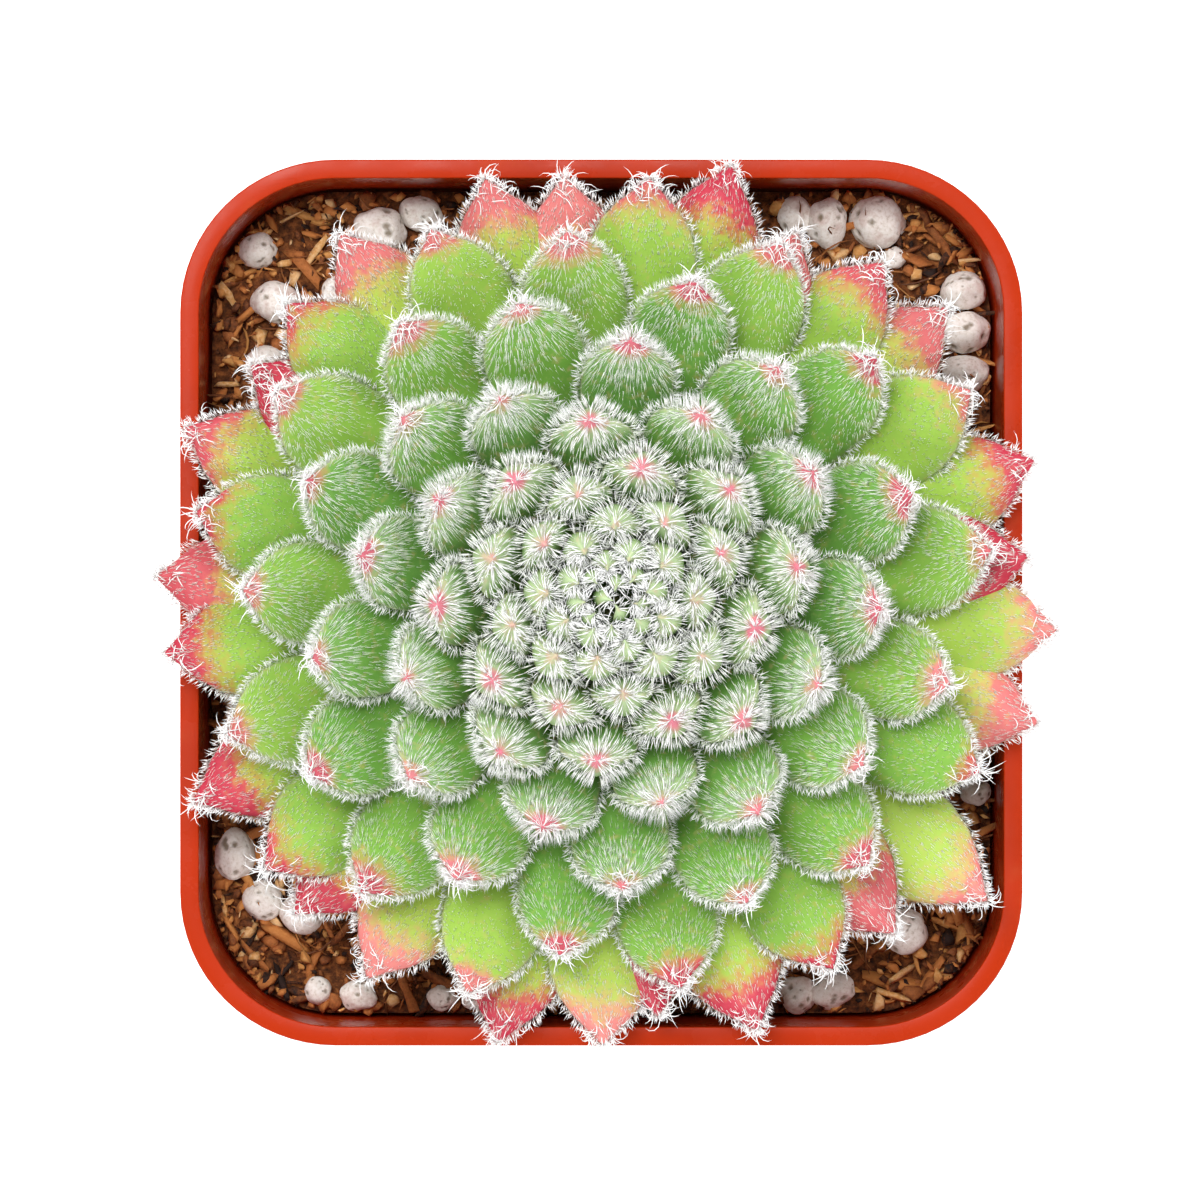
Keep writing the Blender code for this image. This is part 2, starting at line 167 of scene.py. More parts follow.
bpy.ops.object.select_all(action="DESELECT")
bpy.ops.mesh.primitive_plane_add(size=1)
pot = bpy.context.object
pot.name = "pot_shell"
pot.scale = (BASE_WIDTH, BASE_DEPTH, 1)
bpy.ops.object.transform_apply(scale=True)
bpy.ops.object.mode_set(mode="EDIT")
bpy.ops.mesh.select_all(action="SELECT")
bpy.ops.mesh.bevel(offset=BASE_CORNER, segments=CORNER_SEGMENTS, affect="VERTICES")
shrink = (1 - 2 * FOOT_CHAMFER / BASE_WIDTH, 1 - 2 * FOOT_CHAMFER / BASE_DEPTH, 1)
bpy.ops.transform.resize(value=shrink, center_override=(0, 0, 0))
draw_to(FOOT_CHAMFER, BASE_WIDTH, BASE_DEPTH)
draw_to(COLLAR_FOOT, POT_WIDTH - 2 * COLLAR_STEP, POT_DEPTH - 2 * COLLAR_STEP)
draw_to(COLLAR_FOOT, POT_WIDTH, POT_DEPTH)
draw_to(rim_height, POT_WIDTH, POT_DEPTH)
bpy.ops.mesh.inset(thickness=RIM_BAND)
wall_inside = 2 * (COLLAR_STEP + WALL)
draw_to(COLLAR_FOOT, POT_WIDTH - wall_inside, POT_DEPTH - wall_inside)
draw_to(FLOOR, BASE_WIDTH - 2 * WALL, BASE_DEPTH - 2 * WALL)
bpy.ops.mesh.select_all(action="SELECT")
bpy.ops.mesh.normals_make_consistent(inside=False)
bpy.ops.object.mode_set(mode="OBJECT")
for spot_x in (-DRAIN_SPREAD, DRAIN_SPREAD):
    for spot_y in (-DRAIN_SPREAD, DRAIN_SPREAD):
        bpy.ops.mesh.primitive_cylinder_add(
            vertices=DRAIN_SIDES, radius=DRAIN_RADIUS, depth=4 * FLOOR, location=(spot_x, spot_y, 0)
        )
        drill = bpy.context.object
        hole = pot.modifiers.new("drain", "BOOLEAN")
        hole.object = drill
        bpy.context.view_layer.objects.active = pot
        bpy.ops.object.modifier_apply(modifier=hole.name)
        bpy.data.objects.remove(drill)
softened = pot.modifiers.new("softened", "BEVEL")
softened.width = EDGE_ROUND
softened.segments = EDGE_STEPS
softened.limit_method = "ANGLE"
softened.angle_limit = math.radians(25)
bpy.ops.object.modifier_apply(modifier=softened.name)
bpy.ops.object.select_all(action="DESELECT")
pot.select_set(True)
bpy.ops.object.shade_smooth_by_angle(angle=math.radians(40))

# Moulded polypropylene: a strong even orange-red with a low soft gloss and a very fine
# orange-peel skin from the mould. It is paler and duller in patches, where the mix and fingers
# have rubbed it.
PEEL_SIZE = 0.5 * MM
SCUFF_SIZE = 6.0 * MM
polypropylene, shader = new_material("moulded_polypropylene", 0.34, 1.49)
place = add_node(polypropylene, "ShaderNodeTexCoord").outputs["Object"]
scuffs = add_node(
    polypropylene,
    "ShaderNodeTexNoise",
    values={"Scale": 1 / SCUFF_SIZE, "Detail": 5.0, "Roughness": 0.6},
    links={"Vector": place},
)
dust = add_node(
    polypropylene,
    "ShaderNodeValToRGB",
    links={"Fac": scuffs.outputs["Fac"]},
    stops=((0.0, "#A32A08"), (1.0, "#B06040"), (0.62, "#A72C0A"), (0.82, "#A93A18")),
)
dulled = add_node(
    polypropylene,
    "ShaderNodeMapRange",
    values={"From Min": 0.45, "From Max": 0.8, "To Min": 0.24, "To Max": 0.5},
    links={"Value": scuffs.outputs["Fac"]},
)
peel = add_node(
    polypropylene,
    "ShaderNodeTexNoise",
    values={"Scale": 1 / PEEL_SIZE, "Detail": 2.0},
    links={"Vector": place},
)
peel_bump = add_node(
    polypropylene,
    "ShaderNodeBump",
    values={"Strength": 0.12, "Distance": 0.04 * MM},
    links={"Height": peel.outputs["Fac"]},
)
polypropylene.node_tree.links.new(dust.outputs["Color"], shader.inputs["Base Color"])
polypropylene.node_tree.links.new(dulled.outputs["Result"], shader.inputs["Roughness"])
polypropylene.node_tree.links.new(peel_bump.outputs["Normal"], shader.inputs["Normal"])
shader.inputs["Specular IOR Level"].default_value = 0.1
finish_piece(pot, polypropylene, "pot_plastic", "pot")


# Potting mix
# Composted bark and coir, pressed in and settled about 11 mm below the rim. This block is its
# dark crumbly body. The slivers, fibres and grains that lie on it are pieces of their own.
SOIL_LEVEL = 53.0 * MM
SOIL_ROUGHNESS = 0.9 * MM
SOIL_LUMP = 5.0 * MM
SOIL_CRUMB = 1.8 * MM
SOIL_GRIT = 0.7 * MM
GRIT_HEIGHT = 0.35 * MM
GAP = 0.3 * MM
SOIL_HALF_WIDTH = POT_WIDTH / 2 - COLLAR_STEP - WALL - GAP
SOIL_HALF_DEPTH = POT_DEPTH / 2 - COLLAR_STEP - WALL - GAP
SOIL_CORNER = 10.3 * MM
SOIL_FOOT = FLOOR + GAP
GRID_CELLS = 100


def soil_height(x, y):
    """The mix's rough top, with the same coarse lumps and crumbs as the solid in the frame."""
    lumps = noise.noise(Vector((x, y, 0.0)) / SOIL_LUMP)
    crumbs = noise.noise(Vector((x, y, 0.0)) / SOIL_CRUMB)
    return SOIL_LEVEL + SOIL_ROUGHNESS * (0.65 * lumps + 0.35 * crumbs)


def wall_reach(x, y):
    """How far the mix reaches from the middle in the direction of a spot, round corners included."""
    far = math.hypot(x, y) or 1.0
    dx, dy = abs(x) / far, abs(y) / far
    straight = min(SOIL_HALF_WIDTH / max(dx, 1e-9), SOIL_HALF_DEPTH / max(dy, 1e-9))
    corner_x = SOIL_HALF_WIDTH - SOIL_CORNER
    corner_y = SOIL_HALF_DEPTH - SOIL_CORNER
    if straight * dx <= corner_x or straight * dy <= corner_y:
        return straight
    middle = dx * corner_x + dy * corner_y
    return middle + math.sqrt(middle**2 - corner_x**2 - corner_y**2 + SOIL_CORNER**2)


bpy.ops.object.select_all(action="DESELECT")
bpy.ops.mesh.primitive_grid_add(x_subdivisions=GRID_CELLS, y_subdivisions=GRID_CELLS, size=2)
soil = bpy.context.object
soil.name = "potting_mix_body"
for vert in soil.data.vertices:
    x, y = vert.co.x * SOIL_HALF_WIDTH, vert.co.y * SOIL_HALF_DEPTH
    to_corner = max(abs(vert.co.x), abs(vert.co.y)) or 1.0
    edge_x, edge_y = x / to_corner, y / to_corner
    pull = wall_reach(edge_x, edge_y) / (math.hypot(edge_x, edge_y) or 1.0)
    x, y = x * pull, y * pull
    grit = GRIT_HEIGHT * noise.noise(Vector((x, y, 0.0)) / SOIL_GRIT)
    vert.co = (x, y, soil_height(x, y) + grit)
bpy.ops.object.mode_set(mode="EDIT")
bpy.ops.mesh.select_mode(type="EDGE")
bpy.ops.mesh.select_all(action="DESELECT")
bpy.ops.mesh.select_non_manifold()
bpy.ops.mesh.extrude_region_move(TRANSFORM_OT_translate={"value": (0, 0, -GAP)})
foot_x = (BASE_WIDTH / 2 - WALL - 3 * GAP) / SOIL_HALF_WIDTH
foot_y = (BASE_DEPTH / 2 - WALL - 3 * GAP) / SOIL_HALF_DEPTH
bpy.ops.transform.resize(value=(foot_x, foot_y, 0), center_override=(0, 0, SOIL_FOOT))
bpy.ops.mesh.edge_face_add()
bpy.ops.mesh.select_mode(type="VERT")
bpy.ops.mesh.select_all(action="SELECT")
bpy.ops.mesh.normals_make_consistent(inside=False)
bpy.ops.object.mode_set(mode="OBJECT")
bpy.ops.object.shade_smooth()

# Moist compost: near black in the pores and brown on the crumbs, with no shine at all, so it
# reads as loose and deep between the slivers.
compost, shader = new_material("moist_bark_compost", 0.95, 1.4)
place = add_node(compost, "ShaderNodeTexCoord").outputs["Object"]
crumbs = add_node(
    compost,
    "ShaderNodeTexNoise",
    values={"Scale": 1 / SOIL_GRIT, "Detail": 6.0, "Roughness": 0.7},
    links={"Vector": place},
)
crumb_colour = add_node(
    compost,
    "ShaderNodeValToRGB",
    links={"Fac": crumbs.outputs["Fac"]},
    stops=((0.34, "#22110A"), (0.78, "#B87A42"), (0.5, "#6E3F20"), (0.62, "#9C5E30")),
)
crumb_bump = add_node(
    compost,
    "ShaderNodeBump",
    values={"Strength": 0.9, "Distance": 0.35 * MM},
    links={"Height": crumbs.outputs["Fac"]},
)
compost.node_tree.links.new(crumb_colour.outputs["Color"], shader.inputs["Base Color"])
compost.node_tree.links.new(crumb_bump.outputs["Normal"], shader.inputs["Normal"])
finish_piece(soil, compost, "potting_mix", "potting_mix")


# Bark slivers and crumbs
# Shredded conifer bark lies over the mix: torn slivers of up to 4 mm and crumbs of about 1 mm,
# from nearly black to fresh orange. Each is a broken copy of one block or one 20-sided ball.
SLIVER_COUNT = 1500
SLIVER_LENGTH = (0.6 * MM, 4.2 * MM)
SLIVER_SEED = 11
CRUMB_COUNT = 4200
CRUMB_LENGTH = (0.4 * MM, 1.9 * MM)
CRUMB_SEED = 12
BIT_LIFT = (0.1 * MM, 0.95 * MM)
BIT_TILT = 0.5
BIT_ROLL = 0.3
BIT_TAPER = 0.7
BROKEN = 0.2
HIDDEN_RADIUS = 20.0 * MM
GRAIN_CUTS = 3


def mix(a, b, share):
    """The value that lies a share of the way from a to b."""
    return a + (b - a) * share


def points_of(piece):
    """A mesh's points as rows of x, y and z."""
    points = np.empty(3 * len(piece.data.vertices))
    piece.data.vertices.foreach_get("co", points)
    return points.reshape(-1, 3)


def copies_of(blank, name, placed, marks):
    """One piece of copies of a blank, with a row of points for each and named values on them."""
    count, size = placed.shape[:2]
    corners = np.empty(len(blank.data.loops), dtype=np.int64)
    blank.data.loops.foreach_get("vertex_index", corners)
    totals = np.empty(len(blank.data.polygons), dtype=np.int64)
    blank.data.polygons.foreach_get("loop_total", totals)
    totals = np.tile(totals, count)
    corners = (corners[None, :] + size * np.arange(count)[:, None]).ravel()
    mesh = bpy.data.meshes.new(name)
    mesh.vertices.add(count * size)
    mesh.vertices.foreach_set("co", placed.ravel())
    mesh.loops.add(len(corners))
    mesh.loops.foreach_set("vertex_index", corners)
    mesh.polygons.add(len(totals))
    mesh.polygons.foreach_set("loop_start", np.concatenate(([0], np.cumsum(totals)[:-1])))
    for mark, values in marks.items():
        attribute = mesh.attributes.new(mark, "FLOAT", "POINT")
        attribute.data.foreach_set("value", np.broadcast_to(values, (count, size)).ravel())
    mesh.update(calc_edges=True)
    mesh.validate()
    piece = bpy.data.objects.new(name, mesh)
    bpy.context.collection.objects.link(piece)
    return piece


def pull_inside(x, y, margin):
    """The spot, or the nearest one towards the middle that keeps margin from the wall."""
    share = math.hypot(x, y) / (wall_reach(x, y) - margin)
    return (x, y) if share <= 1 else (x / share, y / share)


def visible_spot(rng):
    """A spot on the mix that isn't deep under the leaves."""
    while True:
        x = rng.uniform(-1, 1) * SOIL_HALF_WIDTH
        y = rng.uniform(-1, 1) * SOIL_HALF_DEPTH
        if math.hypot(x, y) > HIDDEN_RADIUS:
            return x, y


bpy.ops.object.select_all(action="DESELECT")
bpy.ops.mesh.primitive_plane_add(size=1, location=(-0.5, 0, 0), rotation=(0, math.radians(90), 0))
sliver_blank = bpy.context.object
bpy.ops.object.transform_apply(location=True, rotation=True)
bpy.ops.object.mode_set(mode="EDIT")
bpy.ops.mesh.select_all(action="SELECT")
for _ in range(GRAIN_CUTS):
    bpy.ops.mesh.extrude_region_move(TRANSFORM_OT_translate={"value": (1 / GRAIN_CUTS, 0, 0)})
bpy.ops.mesh.select_all(action="SELECT")
bpy.ops.mesh.normals_make_consistent(inside=False)
bpy.ops.object.mode_set(mode="OBJECT")
bpy.ops.mesh.primitive_ico_sphere_add(subdivisions=1, radius=0.5)
crumb_blank = bpy.context.object


def scattered(blank, name, count, sizes, skew, slender, flat, seed):
    """Broken bits of one blank, each of its own size, shape, turn and tone, strewn on the mix.

    Sizes are lengths, and a higher skew makes more of them short. A bit is slender times as wide
    as it is long, and flat times as thick as it is wide.
    """
    form = points_of(blank)
    rng = random.Random(seed)
    jitter = np.random.default_rng(seed)
    bits = []
    tones = []
    for _ in range(count):
        x, y = visible_spot(rng)
        length = mix(*sizes, rng.random() ** skew)
        width = length * rng.uniform(*slender)
        thick = width * rng.uniform(*flat)
        x, y = pull_inside(x, y, 0.45 * length)
        bit = form + jitter.uniform(-BROKEN, BROKEN, form.shape)
        bit[:, 1:] *= 1 - BIT_TAPER * rng.uniform(0.3, 1.2) * np.abs(form[:, :1])
        bit[:, 2] += rng.uniform(-1, 1) * form[:, 0] ** 2
        bit *= (length, width, thick)
        tilts = (rng.gauss(0, BIT_TILT), rng.gauss(0, BIT_ROLL), rng.uniform(0, math.tau))
        turn = Euler(tilts).to_matrix()
        lift = soil_height(x, y) + rng.uniform(*BIT_LIFT)
        bits.append(bit @ np.array(turn).T + (x, y, lift))
        tones.append(rng.random())
    return copies_of(blank, name, np.array(bits), {"chance": np.array(tones)[:, None]})


bark_slivers = scattered(
    sliver_blank,
    "bark_slivers",
    SLIVER_COUNT,
    SLIVER_LENGTH,
    skew=3.2,
    slender=(0.12, 0.26),
    flat=(0.4, 0.9),
    seed=SLIVER_SEED,
)
bark_crumbs = scattered(
    crumb_blank,
    "bark_crumbs",
    CRUMB_COUNT,
    CRUMB_LENGTH,
    skew=1.7,
    slender=(0.4, 0.9),
    flat=(0.4, 0.9),
    seed=CRUMB_SEED,
)
bpy.data.objects.remove(sliver_blank)
bpy.data.objects.remove(crumb_blank)

# Shredded bark: matt and fibrous. Each bit has its own brown, with paler and darker grain in it,
# so the litter looks mixed from old and fresh wood.
GRAIN_PITCH = 0.3 * MM
bark, shader = new_material("shredded_bark", 0.78, 1.45)
place = add_node(bark, "ShaderNodeTexCoord").outputs["Object"]
chance = add_node(bark, "ShaderNodeAttribute", {"attribute_name": "chance"}).outputs["Fac"]
bark_grain = add_node(
    bark,
    "ShaderNodeTexNoise",
    values={"Scale": 1 / GRAIN_PITCH, "Detail": 5.0, "Roughness": 0.7},
    links={"Vector": place},
)
blotch = add_node(
    bark,
    "ShaderNodeMath",
    {"operation": "MULTIPLY_ADD"},
    values={1: 0.55, 2: -0.27},
    links={0: bark_grain.outputs["Fac"]},
)
tone = add_node(
    bark,
    "ShaderNodeMath",
    {"operation": "ADD"},
    links={0: chance, 1: blotch.outputs["Value"]},
)
bark_colour = add_node(
    bark,
    "ShaderNodeValToRGB",
    links={"Fac": tone.outputs["Value"]},
    stops=(
        (0.05, "#26150E"),
        (1.0, "#EBC08A"),
        (0.2, "#784524"),
        (0.42, "#B87039"),
        (0.72, "#CC8444"),
        (0.9, "#DCA05A"),
    ),
)
grain_bump = add_node(
    bark,
    "ShaderNodeBump",
    values={"Strength": 0.7, "Distance": 0.12 * MM},
    links={"Height": bark_grain.outputs["Fac"]},
)
bark.node_tree.links.new(bark_colour.outputs["Color"], shader.inputs["Base Color"])
bark.node_tree.links.new(grain_bump.outputs["Normal"], shader.inputs["Normal"])
finish_piece(bark_slivers, bark, "potting_mix")
finish_piece(bark_crumbs, bark, "potting_mix")


# Coir fibres
# Loose strands of coconut fibre, 3 to 9 mm long and as thin as thread, lie curled among the bark.
# Each is drawn out of one triangle in steps and comes to a point.
STRAND_COUNT = 420
STRAND_LENGTH = (3.0 * MM, 8.5 * MM)
STRAND_RADIUS = (0.06 * MM, 0.13 * MM)
STRAND_BEND = (0.2, 2.6)
STRAND_LIFT = 0.55 * MM
STRAND_REACH = 0.95
STRAND_SEED = 23
WALL_CLEARANCE = 1.0 * MM


def strand_blank(name, radii):
    """A three-sided strand, 1 long, with a ring of each radius and a pointed tip.

    A first radius of 0 closes its root to a point as well.
    """
    bpy.ops.object.select_all(action="DESELECT")
    bpy.ops.mesh.primitive_circle_add(vertices=3, radius=1, fill_type="NGON")
    strand = bpy.context.object
    strand.name = name
    bpy.ops.object.mode_set(mode="EDIT")
    bpy.ops.mesh.select_all(action="SELECT")
    bpy.ops.transform.resize(value=(radii[0] or 1, radii[0] or 1, 1))
    for last, here in zip(radii, radii[1:]):
        bpy.ops.mesh.extrude_region_move(TRANSFORM_OT_translate={"value": (0, 0, 1 / len(radii))})
        stretch = here / (last or 1)
        bpy.ops.transform.resize(value=(stretch, stretch, 1), center_override=(0, 0, 0))
    bpy.ops.mesh.extrude_region_move(TRANSFORM_OT_translate={"value": (0, 0, 1 / len(radii))})
    bpy.ops.mesh.merge(type="CENTER")
    bpy.ops.mesh.select_all(action="DESELECT")
    if radii[0] == 0:
        bpy.ops.object.mode_set(mode="OBJECT")
        for vert in strand.data.vertices:
            vert.select = vert.co.z < 0.01
        bpy.ops.object.mode_set(mode="EDIT")
        bpy.ops.mesh.merge(type="CENTER")
    bpy.ops.mesh.select_all(action="SELECT")
    bpy.ops.mesh.quads_convert_to_tris()
    bpy.ops.mesh.normals_make_consistent(inside=False)
    bpy.ops.object.mode_set(mode="OBJECT")
    return strand


def plant(blank, name, roots, headings, leans, bends, lengths, radii, marks=None):
    """Copies of a strand on arcs: each starts at its root along its heading and bends to its lean."""
    form = points_of(blank)
    bend = np.where(np.abs(bends) < 1e-3, 1e-3, bends)[:, None]
    turned = bend * form[None, :, 2]
    forward = lengths[:, None] * np.sin(turned) / bend
    aside = lengths[:, None] * (1 - np.cos(turned)) / bend
    inward = np.cos(turned)[..., None] * leans[:, None] - np.sin(turned)[..., None] * headings[:, None]
    crosswise = np.cross(headings, leans)[:, None]
    placed = roots[:, None] + forward[..., None] * headings[:, None] + aside[..., None] * leans[:, None]
    placed += radii[:, None, None] * (form[None, :, :1] * inward + form[None, :, 1:2] * crosswise)
    values = {"rise": form[None, :, 2]}
    values.update(marks or {})
    return copies_of(blank, name, placed, values)


def unit(rows):
    """Each row as a vector of length 1."""
    return rows / np.linalg.norm(rows, axis=1, keepdims=True)


def across_from(headings, guesses):
    """Unit vectors square to the headings, as near as may be to the guesses."""
    return unit(guesses - headings * np.sum(headings * guesses, axis=1, keepdims=True))


draws = np.random.default_rng(STRAND_SEED)
long_strand = strand_blank("long_strand", (0.0, 0.8, 1.0, 0.95, 0.7))
spots = draws.uniform(-STRAND_REACH, STRAND_REACH, (STRAND_COUNT, 2))
spots = spots * (SOIL_HALF_WIDTH, SOIL_HALF_DEPTH)
lengths = draws.uniform(*STRAND_LENGTH, STRAND_COUNT)
spots = np.array([pull_inside(x, y, 0.5 * far) for (x, y), far in zip(spots, lengths)])
heights = [soil_height(x, y) + STRAND_LIFT for x, y in spots]
roots = np.column_stack((spots, heights))
facing = draws.uniform(0, math.tau, STRAND_COUNT)
headings = np.column_stack((np.cos(facing), np.sin(facing), draws.uniform(-0.05, 0.2, STRAND_COUNT)))
headings = unit(headings)
leans = across_from(headings, draws.normal(0, 1, (STRAND_COUNT, 3)) * (1, 1, 0.25))
bends = draws.uniform(*STRAND_BEND, STRAND_COUNT)
ends = roots + 0.7 * lengths[:, None] * headings
outside = [math.hypot(x, y) > wall_reach(x, y) - WALL_CLEARANCE for x, y, _ in ends]
headings[outside] *= -1
coir = plant(
    long_strand,
    "coir_fibres",
    roots,
    headings,
    leans,
    bends,
    lengths,
    draws.uniform(*STRAND_RADIUS, STRAND_COUNT),
    {"chance": draws.random(STRAND_COUNT)[:, None]},
)
bpy.data.objects.remove(long_strand)

# Coir: tough fibre from a coconut's husk, pale to dark brown, with the faint gloss of a hair.
coir_fibre, shader = new_material("coir_fibre", 0.6, 1.5)
chance = add_node(coir_fibre, "ShaderNodeAttribute", {"attribute_name": "chance"}).outputs["Fac"]
coir_colour = add_node(
    coir_fibre,
    "ShaderNodeValToRGB",
    links={"Fac": chance},
    stops=((0.0, "#5C3216"), (1.0, "#C98D49"), (0.6, "#9A5C28")),
)
coir_fibre.node_tree.links.new(coir_colour.outputs["Color"], shader.inputs["Base Color"])
finish_piece(coir, coir_fibre, "potting_mix")


# Pumice grains
# Rounded off-white grains of 2 to 4.5 mm, put on top for drainage. Each lies where the picture
# shows it, as x, y, length and width in millimetres, a little sunk into the mix.
PUMICE_GRAINS = (
    (-28.3, 29.0, 3.2, 2.8),
    (-26.5, 24.4, 3.8, 3.4),
    (-27.4, 19.5, 3.0, 2.7),
    (-14.9, 32.2, 3.6, 2.9),
    (-18.0, 30.2, 4.4, 3.6),
    (-21.2, 25.4, 3.0, 2.6),
    (15.8, 31.4, 3.0, 3.2),
    (18.3, 30.8, 3.3, 4.1),
    (22.4, 30.9, 4.5, 4.2),
    (23.8, 28.0, 2.0, 1.8),
    (29.4, 25.3, 3.7, 3.2),
    (29.5, 21.9, 4.1, 3.3),
    (29.4, 18.5, 4.0, 3.2),
    (-30.0, -20.6, 3.3, 4.2),
    (-27.5, -24.2, 3.4, 3.2),
    (-24.2, -25.2, 3.6, 3.4),
    (-21.6, -23.7, 2.6, 2.1),
    (-23.0, -31.5, 2.2, 2.3),
    (-19.8, -32.1, 3.0, 2.4),
    (-13.0, -32.4, 2.5, 2.2),
    (-10.3, -32.8, 2.7, 2.3),
    (24.7, -26.7, 3.6, 3.7),
    (16.0, -31.9, 3.0, 3.1),
    (19.3, -32.5, 3.8, 2.9),
    (30.4, -15.4, 2.4, 2.2),
)
GRAIN_LUMPS = 0.16
GRAIN_LUMP_PITCH = 2.4
GRAIN_DENTS = 0.03
GRAIN_DENT_PITCH = 3.5
GRAIN_FLATNESS = 0.9
GRAIN_LIFT = 0.17
GRAIN_CLEAR = 0.25 * MM
GRAIN_TURN = 0.3
PITS = 9
PIT_DEPTH = 0.1
PIT_SPREAD = 0.2
bpy.ops.object.select_all(action="DESELECT")
bpy.ops.mesh.primitive_ico_sphere_add(subdivisions=4, radius=0.5)
grain_blank = bpy.context.object
grain_form = points_of(grain_blank)
grain_points = []
grain_pits = []
for number, (x, y, length, width) in enumerate(PUMICE_GRAINS):
    rng = random.Random(number)
    turn = rng.uniform(-GRAIN_TURN, GRAIN_TURN)
    swells = []
    for spot in grain_form:
        place = Vector(spot) * GRAIN_LUMP_PITCH + Vector((number * 5.0, 0, 0))
        dent = GRAIN_DENTS * noise.noise(place * GRAIN_DENT_PITCH)
        swells.append(1 + GRAIN_LUMPS * noise.noise(place) + dent)
    pitted = np.zeros(len(grain_form))
    for pit in range(PITS):
        towards = Vector((rng.gauss(0, 1), rng.gauss(0, 1), abs(rng.gauss(0, 1)))).normalized()
        apart = np.arccos(np.clip(2 * grain_form @ np.array(towards), -1, 1))
        size = PIT_SPREAD * rng.uniform(0.45, 1.1)
        pitted = np.maximum(pitted, np.exp(-((apart / size) ** 4)))
    swells = np.array(swells) * (1 - PIT_DEPTH * pitted)
    grain = grain_form * swells[:, None]
    grain *= (length * MM, width * MM, (length + width) / 2 * MM * GRAIN_FLATNESS)
    cos, sin = math.cos(turn), math.sin(turn)
    grain = grain @ np.array(((cos, -sin, 0), (sin, cos, 0), (0, 0, 1))).T
    x, y = pull_inside(x * MM, y * MM, 0.55 * max(length, width) * MM)
    lift = soil_height(x, y) + width * MM * GRAIN_LIFT + GRAIN_CLEAR
    grain_points.append(grain + (x, y, lift))
    grain_pits.append(pitted)
pumice_grains = copies_of(
    grain_blank,
    "pumice_grains",
    np.array(grain_points),
    {"pit": np.array(grain_pits), "chance": np.linspace(0, 1, len(PUMICE_GRAINS))[:, None]},
)
bpy.data.objects.remove(grain_blank)
pumice_grains.data.shade_smooth()

# Pumice: chalky off-white volcanic froth, full of fine pores, with olive dirt in the larger pits
# and a rusty pink stain on the side that lay in the mix.
PORE_PITCH = 0.28 * MM
STAIN_SIZE = 2.6 * MM
pumice, shader = new_material("pumice", 0.9, 1.5)
place = add_node(pumice, "ShaderNodeTexCoord").outputs["Object"]
pores = add_node(
    pumice,
    "ShaderNodeTexNoise",
    values={"Scale": 1 / PORE_PITCH, "Detail": 4.0, "Roughness": 0.6},
    links={"Vector": place},
)
stains = add_node(
    pumice,
    "ShaderNodeTexNoise",
    values={"Scale": 1 / STAIN_SIZE, "Detail": 4.0, "Roughness": 0.6},
    links={"Vector": place},
)
chalk = add_node(
    pumice,
    "ShaderNodeValToRGB",
    links={"Fac": pores.outputs["Fac"]},
    stops=((0.25, "#CFC4B8"), (0.62, "#FBF7F2"), (0.45, "#F1EBE3")),
)
stain_share = add_node(
    pumice,
    "ShaderNodeMapRange",
    values={"From Min": 0.55, "From Max": 0.72, "To Max": 0.7},
    links={"Value": stains.outputs["Fac"]},
)
stained = add_node(
    pumice,
    "ShaderNodeMix",
    {"data_type": "RGBA"},
    values={7: linear("#B98E80")},
    links={0: stain_share.outputs["Result"], 6: chalk.outputs["Color"]},
)
pit = add_node(pumice, "ShaderNodeAttribute", {"attribute_name": "pit"}).outputs["Fac"]
pit_share = add_node(
    pumice,
    "ShaderNodeMapRange",
    values={"From Min": 0.35, "From Max": 0.95, "To Max": 0.8},
    links={"Value": pit},
)
pitted = add_node(
    pumice,
    "ShaderNodeMix",
    {"data_type": "RGBA"},
    values={7: linear("#6E5C3C")},
    links={0: pit_share.outputs["Result"], 6: stained.outputs[2]},
)
pore_bump = add_node(
    pumice,
    "ShaderNodeBump",
    values={"Strength": 0.5, "Distance": 0.06 * MM},
    links={"Height": pores.outputs["Fac"]},
)
pumice.node_tree.links.new(pitted.outputs[2], shader.inputs["Base Color"])
pumice.node_tree.links.new(pore_bump.outputs["Normal"], shader.inputs["Normal"])
finish_piece(pumice_grains, pumice, "potting_mix")


# Leaves
# One plant, whose plump leaves stand a golden angle apart on a short stem. Young leaves fold in
# over the heart and old ones lie out over the rim. A leaf is a blank ball, drawn out along a curve.
GOLDEN_ANGLE = math.radians(137.57)
FIRST_ANGLE = math.radians(162.96)
FIRST_LEAF = 3
LAST_LEAF = 117
FULL_REACH_LEAF = 107
LEAF_SWING = math.radians(4.0)
ROSETTE_CENTRE = np.array((0.2 * MM, -0.24 * MM, 0.0))
HEART_SHIFT = np.array((0.7 * MM, 0.4 * MM, 0.0))
HEART_REACH = 1.8 * MM
FULL_REACH = 35.7 * MM
OLD_LEAF = 108
OLD_LEAF_SHRINK = 0.36 * MM
LONG_LEAVES = {93: 1.05, 98: 1.08}
CROWN_HEIGHT = 25.5 * MM
DOME_DROP = 8.0 * MM
OLD_DROP = 3.0 * MM
OLD_DROP_FROM = 90
LOWEST_BASE = 1.8 * MM
BASE_RISE = 18.5 * MM
BASE_RISE_POWER = 1.1
HEART_ROOT = 0.4 * MM
OUTER_ROOT = 3.4 * MM
LEAF_SEED = 41
OPENING_FROM = 70
YOUNG_DIP = 14.0
OLD_DIP = 5.0
HEART_UPTURN = 52.0
MIDDLE_UPTURN = 38.0
OLD_UPTURN = 12.0
CURVE_PULL = 0.36
LEAF_WIDTH = 9.5 * MM
WIDTH_GROWTH = 38.0
WIDTH_GROWTH_POWER = 1.3
WIDTH_HEAD_START = 6
THICKNESS_RATIO = 0.42
YOUNG_THICKNESS = 0.62
WIDEST_AT = 0.7
SHOULDER = (1.9, 2.7)
BASE_NARROWING = 0.5
BASE_FULLNESS = 0.72
TIP_FULLNESS = 2.8
